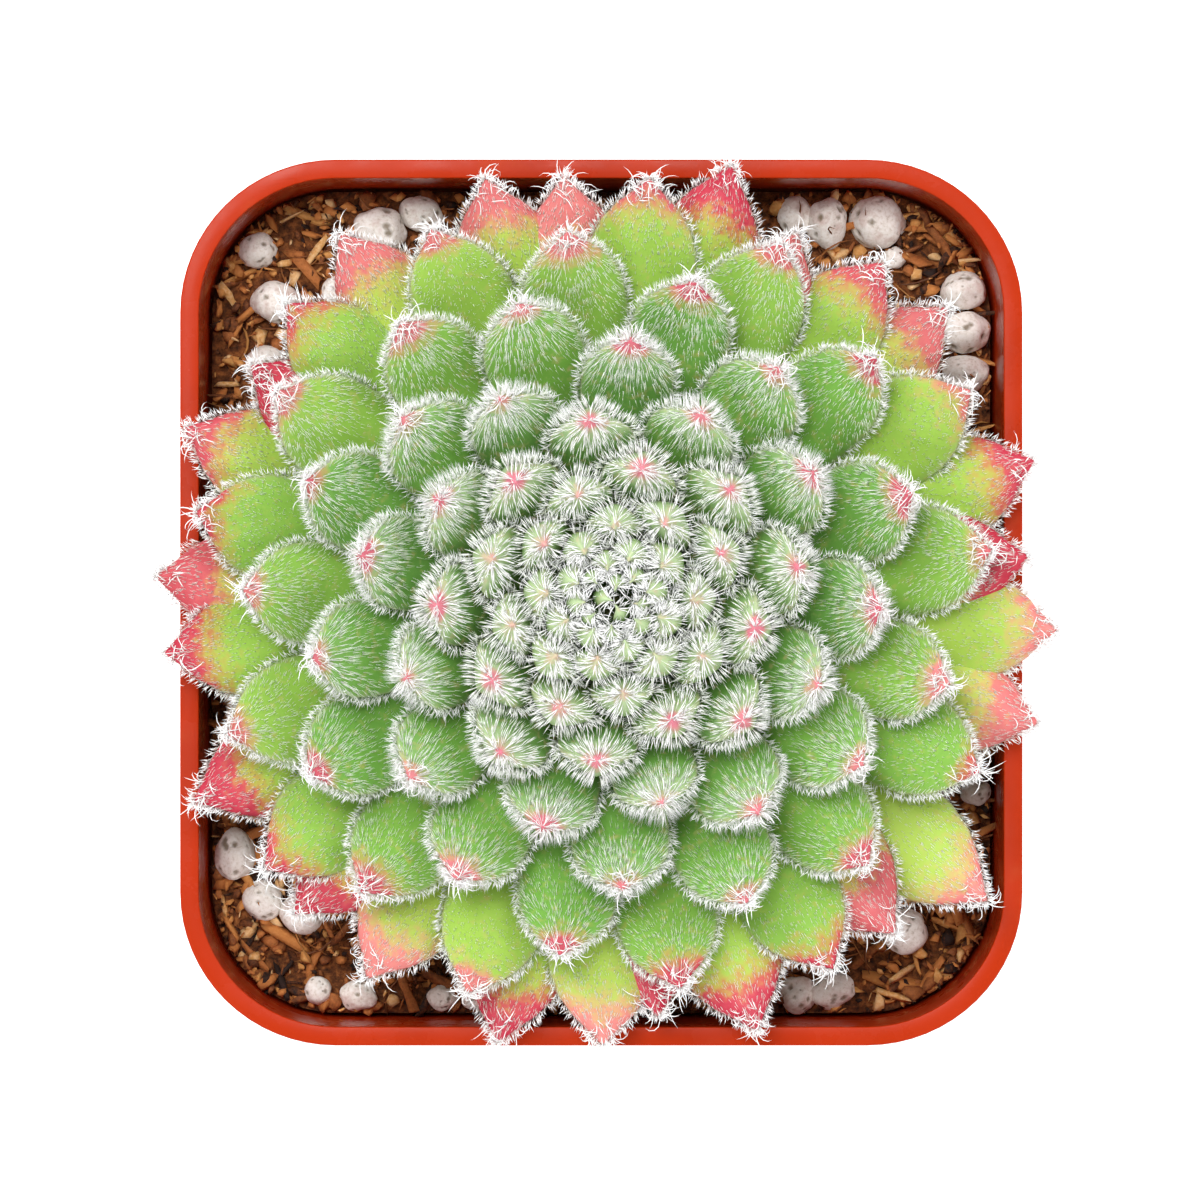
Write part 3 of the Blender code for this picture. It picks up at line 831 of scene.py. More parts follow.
TIP_ROUNDNESS = 0.75
UPPER_SHARE = 0.42
FACE_DOME = 1.1
BACK_KEEL = 1.25
TIP_KEEL = (1.35, 1.75)
SLIM = 0.93
POINT = 0.45 * MM
SMALLEST_WIDTH = 1.5 * MM
POINT_FROM = 0.955
RIM_SPREAD = 0.2
OLDEST_FROM = 88
YOUNG_BLUSH_FROM = 0.93
YOUNG_BLUSH_DEPTH = 0.075
OLD_BLUSH_FROM = (0.86, 0.74)
OLD_BLUSH_DEPTH = 0.25
EDGE_BLUSH = 0.05
FIRST_SEEN = 0
BLANK_SEGMENTS = 24
BLANK_RINGS = 17


def smooth(share):
    """A share kept between 0 and 1, with a soft start and a soft end."""
    share = np.clip(share, 0.0, 1.0)
    return share * share * (3.0 - 2.0 * share)


def leaf_reach(n):
    """How far leaf n's tip stands from the rosette's axis."""
    reach = mix(HEART_REACH, FULL_REACH, smooth(n / FULL_REACH_LEAF))
    reach -= max(0, n - OLD_LEAF) * OLD_LEAF_SHRINK
    if n < FIRST_LEAF:
        reach *= 0.15 + n / 5
    return reach * LONG_LEAVES.get(n, 1.0)


def leaf_law(n):
    """Leaf n's curve, width, direction, twist and place, drawn by the same rule as its solid."""
    rng = random.Random(LEAF_SEED + n)
    age = n / LAST_LEAF
    direction = FIRST_ANGLE + GOLDEN_ANGLE * n
    direction += LEAF_SWING * math.sin(direction) * age * age
    direction += math.radians(rng.uniform(-1.0, 1.0))
    reach = leaf_reach(n) * rng.uniform(0.985, 1.015)
    aged_drop = OLD_DROP * max(0.0, (n - OLD_DROP_FROM) / (LAST_LEAF - OLD_DROP_FROM))
    tip_height = CROWN_HEIGHT - DOME_DROP * (leaf_reach(n) / FULL_REACH) ** 2 - aged_drop
    tip_height += rng.uniform(-0.4, 0.4) * MM * age
    base_height = LOWEST_BASE + BASE_RISE * (1 - age) ** BASE_RISE_POWER
    base_reach = mix(HEART_ROOT, OUTER_ROOT, min(1.0, age * 2))
    chord = math.atan2(tip_height - base_height, reach - base_reach)
    length = math.hypot(tip_height - base_height, reach - base_reach)
    opened = smooth((n - OPENING_FROM) / (LAST_LEAF - OPENING_FROM))
    young_upturn = mix(HEART_UPTURN, MIDDLE_UPTURN, smooth(n / OPENING_FROM))
    start = chord - math.radians(mix(YOUNG_DIP, OLD_DIP, opened))
    end = chord + math.radians(mix(young_upturn, OLD_UPTURN, opened))
    first = np.array((base_reach, base_height))
    last = np.array((reach, tip_height))
    pull = CURVE_PULL * length
    curve = (
        first,
        first + pull * np.array((math.cos(start), math.sin(start))),
        last - pull * np.array((math.cos(end), math.sin(end))),
        last,
    )
    grown = ((n + WIDTH_HEAD_START) / WIDTH_GROWTH) ** WIDTH_GROWTH_POWER
    width = LEAF_WIDTH * (1.0 - math.exp(-grown)) * rng.uniform(0.97, 1.03)
    width = max(width * mix(SLIM, 1.0, opened), SMALLEST_WIDTH)
    roll = math.radians(rng.uniform(-4.0, 4.0))
    centre = ROSETTE_CENTRE + HEART_SHIFT * (1 - age) + (0, 0, SOIL_LEVEL)
    return curve, width, direction, roll, centre


def leaf_surface(n, u, angle, girth=1.0):
    """Points on leaf n at shares u of its length and angles round it: 0 and pi are its margins."""
    (a, b, c, d), width, direction, roll, centre = leaf_law(n)
    plump = mix(YOUNG_THICKNESS, THICKNESS_RATIO, smooth((n - 15) / 50))
    shoulder = mix(*SHOULDER, smooth((n - 10) / 50))
    tip_keel = mix(*TIP_KEEL, smooth((n - 20) / 35))
    u = u[:, None]
    v = 1 - u
    spine = a * v**3 + b * 3 * v * v * u + c * 3 * v * u * u + d * u**3
    slope = unit((b - a) * v * v + (c - b) * 2 * v * u + (d - c) * u * u)
    outward = np.array((math.cos(direction), math.sin(direction), 0.0))
    across = np.array((-math.sin(direction), math.cos(direction), 0.0))
    along = outward * slope[:, :1] + np.array((0, 0, 1.0)) * slope[:, 1:]
    side = across * np.cos(roll * u) + np.cross(along, across) * np.sin(roll * u)
    up = np.cross(along, side)
    past = np.clip((u[:, 0] - WIDEST_AT) / (1 - WIDEST_AT), 0, 1)
    growing = smooth(u[:, 0] / WIDEST_AT)
    outline = np.where(past > 0, 1 - past**shoulder, mix(BASE_NARROWING, 1.0, growing))
    fullness = (1 - past**TIP_FULLNESS) ** TIP_ROUNDNESS
    fullness = np.where(past > 0, fullness, mix(BASE_FULLNESS, 1.0, growing))
    cos, sin = np.cos(angle), np.sin(angle)
    share = np.where(sin > 0, UPPER_SHARE, 1 - UPPER_SHARE)
    keel = mix(BACK_KEEL, tip_keel, smooth((u[:, 0] - 0.55) / 0.3))
    bend = np.where(sin > 0, FACE_DOME, keel)
    x = width / 2 * outline * np.sign(cos) * np.abs(cos) ** bend * girth
    y = width * plump * fullness * share * np.sign(sin) * np.abs(sin) ** bend * girth
    middle = centre + outward * spine[:, :1] + np.array((0, 0, 1.0)) * spine[:, 1:]
    middle = middle + along * POINT * smooth((u - POINT_FROM) / (1 - POINT_FROM)) ** 2
    return middle + side * x[:, None] + up * y[:, None]


def blush_of(n, u, angle):
    """How red leaf n is: a soft point on young leaves, the last third and the edges of old ones."""
    chance = random.Random(n + 300).uniform(-0.02, 0.02)
    edge = np.abs(np.cos(angle)) ** 2
    if n < OLDEST_FROM:
        start = YOUNG_BLUSH_FROM - 0.02 * smooth((n - 40) / 40)
        most = mix(0.1, 0.8, smooth((n - 12) / 32))
        return most * smooth((u - start - chance) / YOUNG_BLUSH_DEPTH)
    old = (n - OLDEST_FROM) / (LAST_LEAF - OLDEST_FROM)
    start = mix(*OLD_BLUSH_FROM, old) - EDGE_BLUSH * edge
    return smooth((u - start - chance) / OLD_BLUSH_DEPTH)


def frost_of(n, u):
    """How white leaf n's skin is under its down: the tips of the young ones."""
    return mix(0.55, 0.0, smooth((n - 40) / 30)) * smooth((u - 0.74) / 0.22)


def painted_shade_of(n, u):
    """How much painted shade darkens leaf n's skin low down, between its neighbours."""
    shade_fades_from = mix(0.62, 0.3, smooth((n - 10) / 80))
    return mix(0.95, 0.35, smooth((n - 40) / 60)) * (1 - smooth((u - shade_fades_from) / 0.3))


bpy.ops.object.select_all(action="DESELECT")
bpy.ops.mesh.primitive_uv_sphere_add(segments=BLANK_SEGMENTS, ring_count=BLANK_RINGS, radius=1)
leaf_blank = bpy.context.object
leaf_form = points_of(leaf_blank)
form_u = (leaf_form[:, 2] + 1) / 2
form_angle = np.arctan2(leaf_form[:, 1], leaf_form[:, 0])
form_girth = (np.hypot(leaf_form[:, 0], leaf_form[:, 1]) > 1e-4).astype(float)
form_rim = np.exp(-((np.sin(form_angle) / RIM_SPREAD) ** 2)) * form_girth
LEAF_GROUPS = {
    "heart_leaves": (FIRST_SEEN, 35),
    "middle_leaves": (36, OLDEST_FROM - 1),
    "outer_leaves": (OLDEST_FROM, LAST_LEAF),
}
leaf_pieces = []
for name, (first, last) in LEAF_GROUPS.items():
    numbers = range(first, last + 1)
    marks = {
        "age": np.array([n / LAST_LEAF for n in numbers])[:, None],
        "chance": np.array([random.Random(n + 500).random() for n in numbers])[:, None],
        "rim": form_rim[None, :],
        "blush": np.array([blush_of(n, form_u, form_angle) for n in numbers]),
        "frost": np.array([frost_of(n, form_u) for n in numbers]),
        # The depth mark is painted shade: dark green low on each leaf.
        "depth": np.array([painted_shade_of(n, form_u) for n in numbers]),
    }
    placed = np.array([leaf_surface(n, form_u, form_angle, form_girth) for n in numbers])
    piece = copies_of(leaf_blank, name, placed, marks)
    piece.data.shade_smooth()
    leaf_pieces.append(piece)
bpy.data.objects.remove(leaf_blank)

# Leaf skin: a dull waxy skin over wet green flesh. It is grey-green in the heart and yellow-green
# on old leaves, darkened at the foot by painted shade, and pale along its margin. The crimson of the
# tips has its own depth on each leaf, and breaks up into salmon and yellow where it ends.
MOTTLE_SIZE = 0.8 * MM
CELL_SIZE = 0.22 * MM
leaf_skin, shader = new_material("succulent_leaf_skin", 0.5, 1.42)
place = add_node(leaf_skin, "ShaderNodeTexCoord").outputs["Object"]
leaf_marks = {}
for mark in ("age", "chance", "rim", "blush", "frost", "depth"):
    reader = add_node(leaf_skin, "ShaderNodeAttribute", {"attribute_name": mark})
    leaf_marks[mark] = reader.outputs["Fac"]
mottle = add_node(
    leaf_skin,
    "ShaderNodeTexNoise",
    values={"Scale": 1 / MOTTLE_SIZE, "Detail": 4.0, "Roughness": 0.6},
    links={"Vector": place},
)
cells = add_node(
    leaf_skin,
    "ShaderNodeTexNoise",
    values={"Scale": 1 / CELL_SIZE, "Detail": 1.0},
    links={"Vector": place},
)
spread = add_node(
    leaf_skin,
    "ShaderNodeMath",
    {"operation": "MULTIPLY_ADD"},
    values={1: 0.16, 2: -0.08},
    links={0: leaf_marks["chance"]},
)
shade_of_age = add_node(
    leaf_skin,
    "ShaderNodeMath",
    {"operation": "ADD"},
    links={0: leaf_marks["age"], 1: spread.outputs["Value"]},
)
green = add_node(
    leaf_skin,
    "ShaderNodeValToRGB",
    links={"Fac": shade_of_age.outputs["Value"]},
    stops=(
        (0.0, "#93B870"),
        (1.0, "#B2C552"),
        (0.2, "#82AA5C"),
        (0.38, "#629544"),
        (0.6, "#70A644"),
        (0.8, "#96BC4A"),
    ),
)
# Painted shade: dark green #3E5F24, mixed in by the depth mark low on each leaf, where its neighbours
# would shade it.
painted_foot_shade = add_node(
    leaf_skin,
    "ShaderNodeMix",
    {"data_type": "RGBA"},
    values={7: linear("#3E5F24")},
    links={0: leaf_marks["depth"], 6: green.outputs["Color"]},
)
fleck_share = add_node(
    leaf_skin,
    "ShaderNodeMapRange",
    values={"From Min": 0.5, "From Max": 0.8, "To Max": 0.3},
    links={"Value": mottle.outputs["Fac"]},
)
flecked = add_node(
    leaf_skin,
    "ShaderNodeMix",
    {"data_type": "RGBA"},
    values={7: linear("#A9C66A")},
    links={0: fleck_share.outputs["Result"], 6: painted_foot_shade.outputs[2]},
)
rim_share = add_node(
    leaf_skin,
    "ShaderNodeMath",
    {"operation": "MULTIPLY"},
    values={1: 0.45},
    links={0: leaf_marks["rim"]},
)
rimmed = add_node(
    leaf_skin,
    "ShaderNodeMix",
    {"data_type": "RGBA"},
    values={7: linear("#EEE6C4")},
    links={0: rim_share.outputs["Value"], 6: flecked.outputs[2]},
)
ragged = add_node(
    leaf_skin,
    "ShaderNodeMath",
    {"operation": "MULTIPLY_ADD"},
    values={1: 0.95, 2: -0.47},
    links={0: mottle.outputs["Fac"]},
)
blush_edge = add_node(
    leaf_skin,
    "ShaderNodeMath",
    {"operation": "ADD"},
    links={0: leaf_marks["blush"], 1: ragged.outputs["Value"]},
)
blush_share = add_node(
    leaf_skin,
    "ShaderNodeMapRange",
    values={"From Min": 0.05, "From Max": 0.62},
    links={"Value": blush_edge.outputs["Value"]},
)
frosted = add_node(
    leaf_skin,
    "ShaderNodeMix",
    {"data_type": "RGBA"},
    values={7: linear("#D3DFBB")},
    links={0: leaf_marks["frost"], 6: rimmed.outputs[2]},
)
crimson = add_node(
    leaf_skin,
    "ShaderNodeValToRGB",
    links={"Fac": blush_edge.outputs["Value"]},
    stops=(
        (0.05, "#C2A64A"),
        (1.0, "#B0233C"),
        (0.3, "#C4864A"),
        (0.5, "#C05C4C"),
        (0.72, "#BC3A4C"),
    ),
)
paler_share = add_node(
    leaf_skin,
    "ShaderNodeMapRange",
    values={"From Min": 0.25, "From Max": 1.0, "To Max": 0.55},
    links={"Value": leaf_marks["chance"]},
)
paled = add_node(
    leaf_skin,
    "ShaderNodeMix",
    {"data_type": "RGBA"},
    values={7: linear("#E39C90")},
    links={0: paler_share.outputs["Result"], 6: crimson.outputs["Color"]},
)
young_share = add_node(
    leaf_skin,
    "ShaderNodeMapRange",
    values={"From Min": 0.3, "From Max": 0.74, "To Min": 0.8, "To Max": 0.0},
    links={"Value": leaf_marks["age"]},
)
pinked = add_node(
    leaf_skin,
    "ShaderNodeMix",
    {"data_type": "RGBA"},
    values={7: linear("#E58A9B")},
    links={0: young_share.outputs["Result"], 6: paled.outputs[2]},
)
blushed = add_node(
    leaf_skin,
    "ShaderNodeMix",
    {"data_type": "RGBA"},
    links={0: blush_share.outputs["Result"], 6: frosted.outputs[2], 7: pinked.outputs[2]},
)
cell_bump = add_node(
    leaf_skin,
    "ShaderNodeBump",
    values={"Strength": 0.25, "Distance": 0.04 * MM},
    links={"Height": cells.outputs["Fac"]},
)
leaf_skin.node_tree.links.new(blushed.outputs[2], shader.inputs["Base Color"])
leaf_skin.node_tree.links.new(cell_bump.outputs["Normal"], shader.inputs["Normal"])
heart_leaves, middle_leaves, outer_leaves = leaf_pieces
finish_piece(heart_leaves, leaf_skin, "leaf_flesh", "rosette")
finish_piece(middle_leaves, leaf_skin, "leaf_flesh")
finish_piece(outer_leaves, leaf_skin, "leaf_flesh")


# Stem
# A short stout stalk, hidden by the leaves, that stands in the mix and narrows to the heart. It
# is drawn up from a disc, to the heights and radii that follow.
STEM_SIDES = 40
STEM_FOOT = SOIL_LEVEL - 14.7 * MM
STEM_FOOT_RADIUS = 2.3 * MM
CORK_SIZE = 1.0 * MM
STEM_LEVELS = (
    (STEM_FOOT + 4.0 * MM, 3.8 * MM),
    (SOIL_LEVEL + 6.0 * MM, 3.8 * MM),
    (SOIL_LEVEL + 14.0 * MM, 3.2 * MM),
    (SOIL_LEVEL + 19.5 * MM, 1.4 * MM),
    (SOIL_LEVEL + 20.6 * MM, 0.5 * MM),
)
bpy.ops.object.select_all(action="DESELECT")
bpy.ops.mesh.primitive_circle_add(vertices=STEM_SIDES, radius=STEM_FOOT_RADIUS, fill_type="NGON")
stem = bpy.context.object
stem.name = "stem"
stem.location = (*ROSETTE_CENTRE[:2], STEM_FOOT)
bpy.ops.object.transform_apply(location=True)
bpy.ops.object.mode_set(mode="EDIT")
bpy.ops.mesh.select_all(action="SELECT")
for height, radius in STEM_LEVELS:
    low, high = selected_box()
    bpy.ops.mesh.extrude_region_move(TRANSFORM_OT_translate={"value": (0, 0, height - low.z)})
    stretch = 2 * radius / (high.x - low.x)
    bpy.ops.transform.resize(value=(stretch, stretch, 1), center_override=(*ROSETTE_CENTRE[:2], height))
bpy.ops.mesh.select_all(action="SELECT")
bpy.ops.mesh.normals_make_consistent(inside=False)
bpy.ops.object.mode_set(mode="OBJECT")
bpy.ops.object.shade_smooth()

# Corky stem: dull olive-brown skin, cracked into patches where old leaves have dropped.
stem_bark, shader = new_material("corky_stem", 0.85, 1.45)
place = add_node(stem_bark, "ShaderNodeTexCoord").outputs["Object"]
cork = add_node(
    stem_bark,
    "ShaderNodeTexNoise",
    values={"Scale": 1 / CORK_SIZE, "Detail": 5.0},
    links={"Vector": place},
)
cork_colour = add_node(
    stem_bark,
    "ShaderNodeValToRGB",
    links={"Fac": cork.outputs["Fac"]},
    stops=((0.3, "#4A4A2A"), (0.7, "#8C8A58")),
)
stem_bark.node_tree.links.new(cork_colour.outputs["Color"], shader.inputs["Base Color"])
finish_piece(stem, stem_bark, "leaf_flesh")


# Leaf hairs
# Every leaf wears stiff white hairs: long and dense in the heart, short on old leaves, a close
# fringe along each margin and a curly tuft at the tip. They stand square to the leaf's skin.
HAIR_SEED = 57
TRIES = 7000
STEP = 1e-3
CLEAR = 0.06 * MM
STRAY = 1.4 * MM
SIDEWAYS = 0.09

# Each is for heart leaves, for middle leaves and for the oldest ones: hairs to a square
# millimetre low on the leaf and at its tip, and lengths and radius in millimetres.
LOW_DENSITY = (0.0, 5.2, 2.8)
HIGH_DENSITY = (13.2, 11.8, 10.2)
LONGEST = (1.45, 1.25, 0.82)
SHORTEST = (0.7, 0.75, 0.42)
HAIR_RADIUS = (0.033, 0.032, 0.0262)

# The fringe: how many on one margin and how long, each on old leaves and in the heart.
FRINGE_COUNT = (215, 85)
FRINGE_LENGTH = (0.85, 1.25)
FRINGE_RADIUS = (0.036, 0.052)
FRINGE_TILT = 24

# The tuft: how many, how far they lean and from what to what length, in the heart and on old leaves.
TUFT_COUNT = (20, 44)
TUFT_TILT = (-35, 48)
BRUSH_LENGTH = (1.1, 1.7)
CURL_LENGTH = (1.0, 2.6)
TUFT_RADIUS = (0.04, 0.056)
spike = strand_blank("spike", (1.0,))
bent_hair = strand_blank("bent_hair", (0.0, 1.0))
curl = strand_blank("curl", (0.0, 0.9, 1.0, 0.85, 0.6))
depsgraph = bpy.context.evaluated_depsgraph_get()
leaf_trees = [BVHTree.FromObject(piece, depsgraph) for piece in leaf_pieces]
OPEN_AIR = [Vector((0.0, 0.0, 1.0))]
for quarter in range(4):
    around = math.tau * (quarter + 0.5) / 4
    OPEN_AIR.append(Vector((math.cos(around), math.sin(around), 0.75)).normalized())


def in_the_open(spots, normals):
    """Which spots can be seen from above or aslant. The rest lie deep between the leaves."""
    seen = np.zeros(len(spots), dtype=bool)
    for number, (spot, normal) in enumerate(zip(spots + CLEAR * normals, normals)):
        start = Vector(spot)
        facing = Vector(normal)
        for towards in OPEN_AIR:
            if facing.dot(towards) < -0.35:
                continue
            if all(tree.ray_cast(start, towards)[0] is None for tree in leaf_trees):
                seen[number] = True
                break
    return seen


def scatter(n, density, reach, spread, draws):
    """Spots in the open on leaf n, so many to a square millimetre, with normals and tipward ways."""
    u = draws.uniform(*reach, TRIES)
    angle = draws.uniform(*spread, TRIES)
    spots = leaf_surface(n, u, angle)
    onward = leaf_surface(n, u + STEP, angle) - spots
    round_it = leaf_surface(n, u, angle + STEP) - spots
    normals = np.cross(round_it, onward)
    patch = (reach[1] - reach[0]) * (spread[1] - spread[0]) / TRIES
    area = np.linalg.norm(normals, axis=1) / STEP**2 * patch / MM**2
    kept = draws.random(TRIES) < density(u) * area
    spots, normals, onward, u = spots[kept], unit(normals[kept]), unit(onward[kept]), u[kept]
    kept = in_the_open(spots, normals)
    return spots[kept], normals[kept], onward[kept], u[kept]


def hairs_on(groups, name, blank):
    """One piece of hairs, from groups of roots, headings, leans, bends, lengths, radii and tints."""
    joined = [np.concatenate(part) for part in zip(*groups)]
    roots, headings, leans, bends, lengths, radii, white, painted_skin_red = joined
    ahead = np.where(headings > 0, np.array(cad_high) - roots, roots - np.array(cad_low))
    room = (ahead + STRAY) / np.maximum(np.abs(headings), 0.05)
    lengths = np.minimum(lengths, np.min(room, axis=1))
    leans = across_from(headings, leans)
    marks = {"white": white[:, None], "painted_skin_red": painted_skin_red[:, None]}
    return plant(blank, name, roots, headings, leans, bends, lengths, radii, marks)


def standing(spots, normals, onward, tilt, tilt_spread, draws):
    """Headings that lean from the normal towards the tip by about tilt degrees."""
    lean = np.radians(tilt + draws.normal(0, tilt_spread, len(spots)))[:, None]
    headings = normals * np.cos(lean) + onward * np.sin(lean)
    return unit(headings + draws.normal(0, SIDEWAYS, spots.shape))


def by_age(values, young, old):
    """The value for a leaf that is so young and so old, out of those for heart, middle and old."""
    heart, middle, oldest = values
    return mix(mix(middle, heart, young), oldest, old)


def down_of(n, draws):
    """The hairs on leaf n's two sides, thicker and longer towards its tip."""
    young = 1 - smooth((n - 20) / 60)
    old = smooth((n - 82) / 10)
    finer = smooth((n - 50) / 35)
    low_density = by_age(LOW_DENSITY, young, old)
    high_density = by_age(HIGH_DENSITY, young, old) * mix(0.5, 1.0, smooth((n - 4) / 18))
    longest = by_age(LONGEST, young, finer) * mix(0.7, 1.0, smooth((n - 2) / 14))
    shortest = by_age(SHORTEST, young, finer)
    radius = by_age(HAIR_RADIUS, young, finer)
    thicken_from = mix(0.62, 0.78, young)
    thicken_over = mix(0.25, 0.14, young)

    def density(u):
        return mix(low_density, high_density, smooth((u - thicken_from) / thicken_over))

    face = (0.0, math.pi)
    back = (math.pi, math.tau)
    groups = []
    for spread, start in ((face, mix(0.4, 0.6, young)), (back, mix(0.6, 0.4, old))):
        spots, normals, onward, u = scatter(n, density, (start, 0.998), spread, draws)
        count = len(spots)
        share = smooth((u - 0.55) / 0.4)
        lengths = mix(shortest, longest, share) * draws.uniform(0.75, 1.12, count) * mix(1.0, 0.75, old)
        starburst = -mix(4, 48, smooth((u - 0.92) / 0.06))
        headings = standing(spots, normals, onward, mix(starburst, 52, old), 8, draws)
        bends = draws.normal(mix(0.1, 0.35, old), 0.25, count)
        radii = radius * mix(0.8, 1.15, share) * draws.uniform(0.85, 1.15, count)
        # Painted see-through and painted shade: low on the leaf, and most in the heart, the white share
        # drops, so these hairs take the skin's green and a darker tone.
        white = mix(mix(0.4, 0.1, young), mix(1.0, 0.8, finer), share) * draws.uniform(0.85, 1.0, count)
        # Painted see-through: hairs over the red tip take a share of the skin's blush as a pink tint.
        painted_skin_red = blush_of(n, u, np.full(count, spread[0] + 1.57)) * mix(0.25, 0.6, old)
        groups.append((spots, headings, onward, bends, lengths * MM, radii * MM, white, painted_skin_red))
    return groups


def fringe_of(n, draws):
    """The close row of hairs along leaf n's two margins."""
    young = 1 - smooth((n - 20) / 70)
    size = smooth((n + 4) / 26)
    groups = []
    for margin in (0.0, math.pi):
        u = 1 - draws.uniform(0.0, 0.8, int(mix(*FRINGE_COUNT, young) * size)) ** 1.45
        angle = margin + draws.normal(0, 0.16, len(u))
        spots = leaf_surface(n, u, angle)
        onward = leaf_surface(n, u + STEP, angle) - spots
        normals = unit(np.cross(leaf_surface(n, u, angle + STEP) - spots, onward))
        kept = in_the_open(spots, normals)
        spots, onward, normals, u = spots[kept], unit(onward[kept]), normals[kept], u[kept]
        headings = standing(spots, normals, onward, FRINGE_TILT, 10, draws)
        lengths = mix(*FRINGE_LENGTH, young) * mix(0.6, 1.0, smooth((u - 0.4) / 0.4))
        lengths = lengths * draws.uniform(0.7, 1.2, len(u))
        radii = draws.uniform(*FRINGE_RADIUS, len(u))
        bends = draws.normal(0, 0.5, len(u))
        leans = draws.normal(0, 1, spots.shape)
        tints = (np.ones(len(u)), np.zeros(len(u)))
        groups.append((spots, headings, leans, bends, lengths * MM, radii * MM, *tints))
    return groups


def tuft_of(n, draws):
    """The curly tuft at leaf n's tip. In the heart it is a straight brush."""
    curly = smooth((n - 36) / 40)
    count = int(mix(*TUFT_COUNT, curly) * smooth((n + 9) / 18))
    u = draws.uniform(POINT_FROM, 0.998, count)
    angle = draws.uniform(0, math.tau, count)
    spots = leaf_surface(n, u, angle)
    onward = leaf_surface(n, u + STEP / 2, angle) - spots
    normals = np.cross(leaf_surface(n, u, angle + STEP) - spots, onward)
    tilt = mix(*TUFT_TILT, curly)
    headings = standing(spots, unit(normals), unit(onward), tilt, 18, draws)
    bends = draws.uniform(0.2, 1.0, count) * mix(0.7, 4.0, curly)
    brush = draws.uniform(*BRUSH_LENGTH, count)
    lengths = mix(brush, draws.uniform(*CURL_LENGTH, count), curly)
    radii = draws.uniform(*TUFT_RADIUS, count)
    leans = draws.normal(0, 1, spots.shape)
    tints = (np.ones(count), np.zeros(count))
    return [(spots, headings, leans, bends, lengths * MM, radii * MM, *tints)]


HAIR_GROUPS = {
    "heart_hairs": (FIRST_SEEN, 30, bent_hair),
    "inner_hairs": (31, 46, bent_hair),
    "middle_hairs": (47, 64, spike),
    "outer_middle_hairs": (65, 87, spike),
    "outer_hairs": (88, 117, spike),
}
draws = np.random.default_rng(HAIR_SEED)
hair_pieces = []
for name, (first, last, blank) in HAIR_GROUPS.items():
    groups = [group for n in range(first, last + 1) for group in down_of(n, draws)]
    hair_pieces.append(hairs_on(groups, name, blank))
everywhere = range(FIRST_SEEN, LAST_LEAF + 1)
fringe = [group for n in everywhere for group in fringe_of(n, draws)]
hair_pieces.append(hairs_on(fringe, "margin_fringe", bent_hair))
tufts = [group for n in everywhere for group in tuft_of(n, draws)]
hair_pieces.append(hairs_on(tufts, "tip_tufts", curl))
for blank in (spike, bent_hair, curl):
    bpy.data.objects.remove(blank)

# Hair: a clear hollow cell wall that scatters light to white. Low on a leaf and towards each hair's
# root it is painted green and darker, a painted see-through of the green skin and painted shade, and
# over the red tips it is painted pink from the skin below. Real ones are about 0.05 mm thick, and these
# up to twice that.
hair_wall, shader = new_material("hollow_leaf_hair", 0.45, 1.5)
white = add_node(hair_wall, "ShaderNodeAttribute", {"attribute_name": "white"}).outputs["Fac"]
rise = add_node(hair_wall, "ShaderNodeAttribute", {"attribute_name": "rise"}).outputs["Fac"]
painted_hair_lightness = add_node(
    hair_wall,
    "ShaderNodeMath",
    {"operation": "MULTIPLY_ADD"},
    values={1: 0.2},
    links={0: rise, 2: white},
)
# Painted see-through and painted shade: a low white share gives the skin's green #8DAE62 or pale green
# #DCE8C6 instead of white.
hair_colour = add_node(
    hair_wall,
    "ShaderNodeValToRGB",
    links={"Fac": painted_hair_lightness.outputs["Value"]},
    stops=((0.25, "#8DAE62"), (1.0, "#FAFAFA"), (0.65, "#DCE8C6")),
)
painted_skin_red = add_node(hair_wall, "ShaderNodeAttribute", {"attribute_name": "painted_skin_red"}).outputs["Fac"]
pink_share = add_node(
    hair_wall,
    "ShaderNodeMath",
    {"operation": "MULTIPLY"},
    values={1: 0.6},
    links={0: painted_skin_red},
)
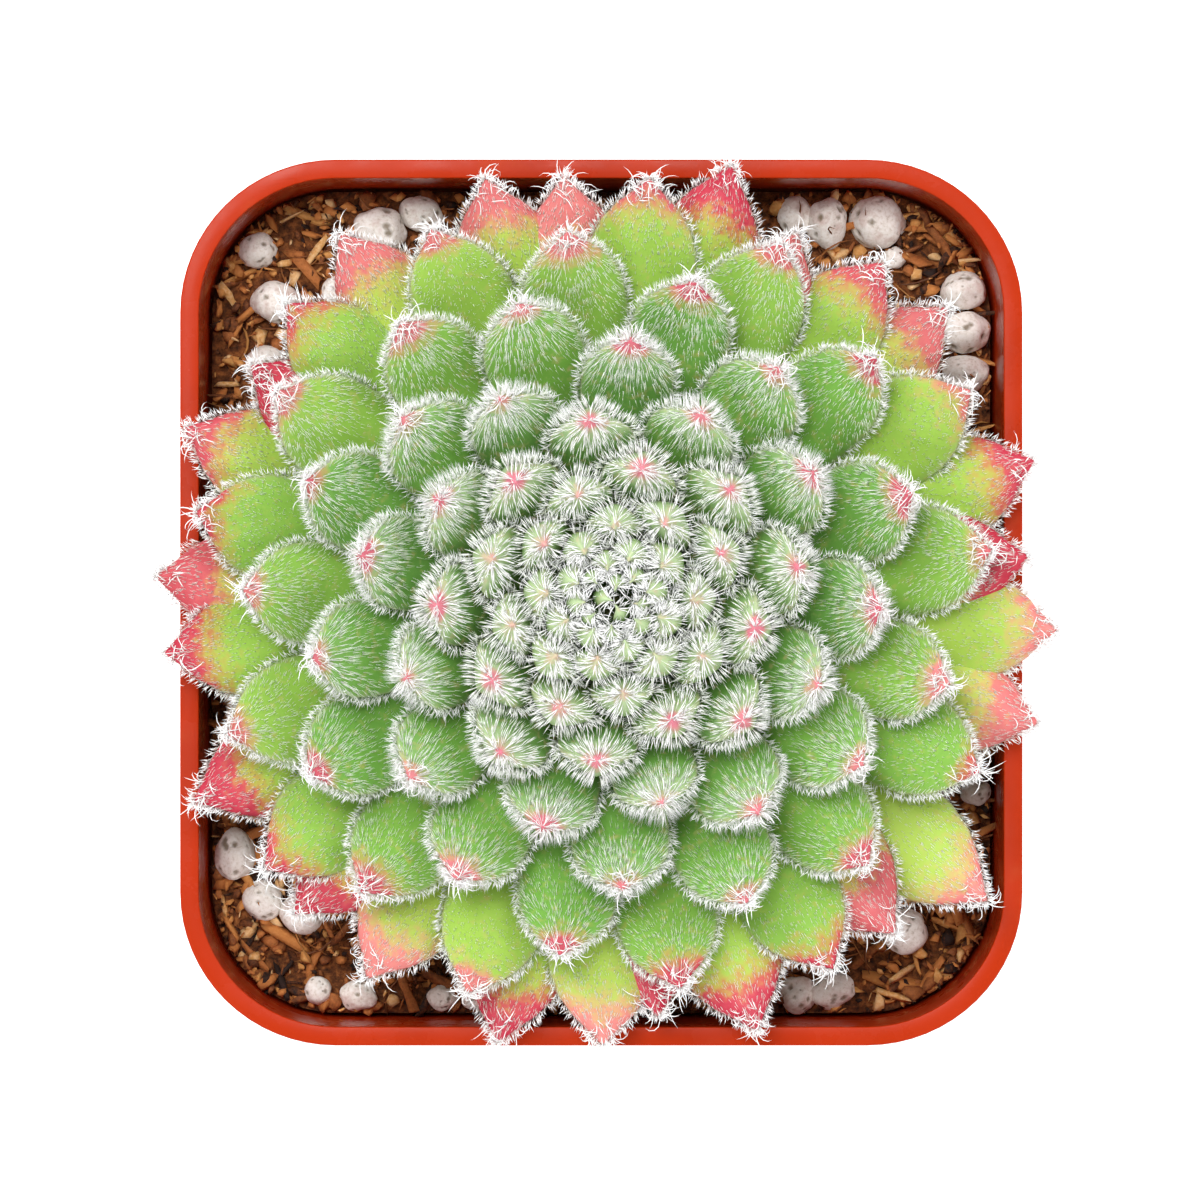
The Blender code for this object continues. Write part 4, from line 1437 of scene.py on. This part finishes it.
# Painted see-through: the pink mark tints the hairs with the red of the skin under them.
tinted = add_node(
    hair_wall,
    "ShaderNodeMix",
    {"data_type": "RGBA"},
    values={7: linear("#EFA3B0")},
    links={0: pink_share.outputs["Value"], 6: hair_colour.outputs["Color"]},
)
hair_wall.node_tree.links.new(tinted.outputs[2], shader.inputs["Base Color"])
shader.inputs["Sheen Weight"].default_value = 1.0
shader.inputs["Sheen Roughness"].default_value = 0.5
for piece in hair_pieces:
    finish_piece(piece, hair_wall, "leaf_flesh")


# Floor
# The pot stands on a backlit sheet of opal acrylic, which isn't part of it. It stays white under
# the pot's shadow, as the ground of the picture does.
bpy.ops.object.select_all(action="DESELECT")
bpy.ops.mesh.primitive_plane_add(size=3.0)
floor = bpy.context.object
floor.name = "floor"

# Opal acrylic: a dull milky white that glows evenly, so the pot's shadow on it stays faint.
opal_acrylic, shader = new_material("backlit_opal_acrylic", 0.6, 1.49)
shader.inputs["Base Color"].default_value = linear("#F2F2F2")
shader.inputs["Emission Color"].default_value = linear("#FFFFFF")
shader.inputs["Emission Strength"].default_value = 0.7
floor.data.materials.append(opal_acrylic)


# Light
# Soft studio light: an even surround, a soft box almost overhead that reaches down into the pot,
# and four larger ones in a ring, of which the one behind on the left is the brightest.
world = bpy.data.worlds.new("surround")
bpy.context.scene.world = world
world.use_nodes = True
surround = world.node_tree.nodes["Background"]
surround.inputs["Color"].default_value = linear("#FFFFFF")
surround.inputs["Strength"].default_value = 0.5
SOFT_BOXES = {
    "top_box": ((-0.14, 0.26, 1.1), 0.3, 6.4),
    "back_left_box": ((-0.55, 0.6, 0.95), 0.45, 4.6),
    "back_right_box": ((0.65, 0.5, 0.95), 0.45, 3.8),
    "front_left_box": ((-0.6, -0.55, 0.95), 0.45, 3.8),
    "front_right_box": ((0.6, -0.6, 0.95), 0.45, 3.4),
}
for name, (location, size, power) in SOFT_BOXES.items():
    bpy.ops.object.light_add(type="AREA", location=location)
    lamp = bpy.context.object
    lamp.name = name
    lamp.data.size = size
    lamp.data.energy = power
    towards = Vector((0, 0, rim_height)) - Vector(location)
    lamp.rotation_euler = towards.to_track_quat("-Z", "Y").to_euler()
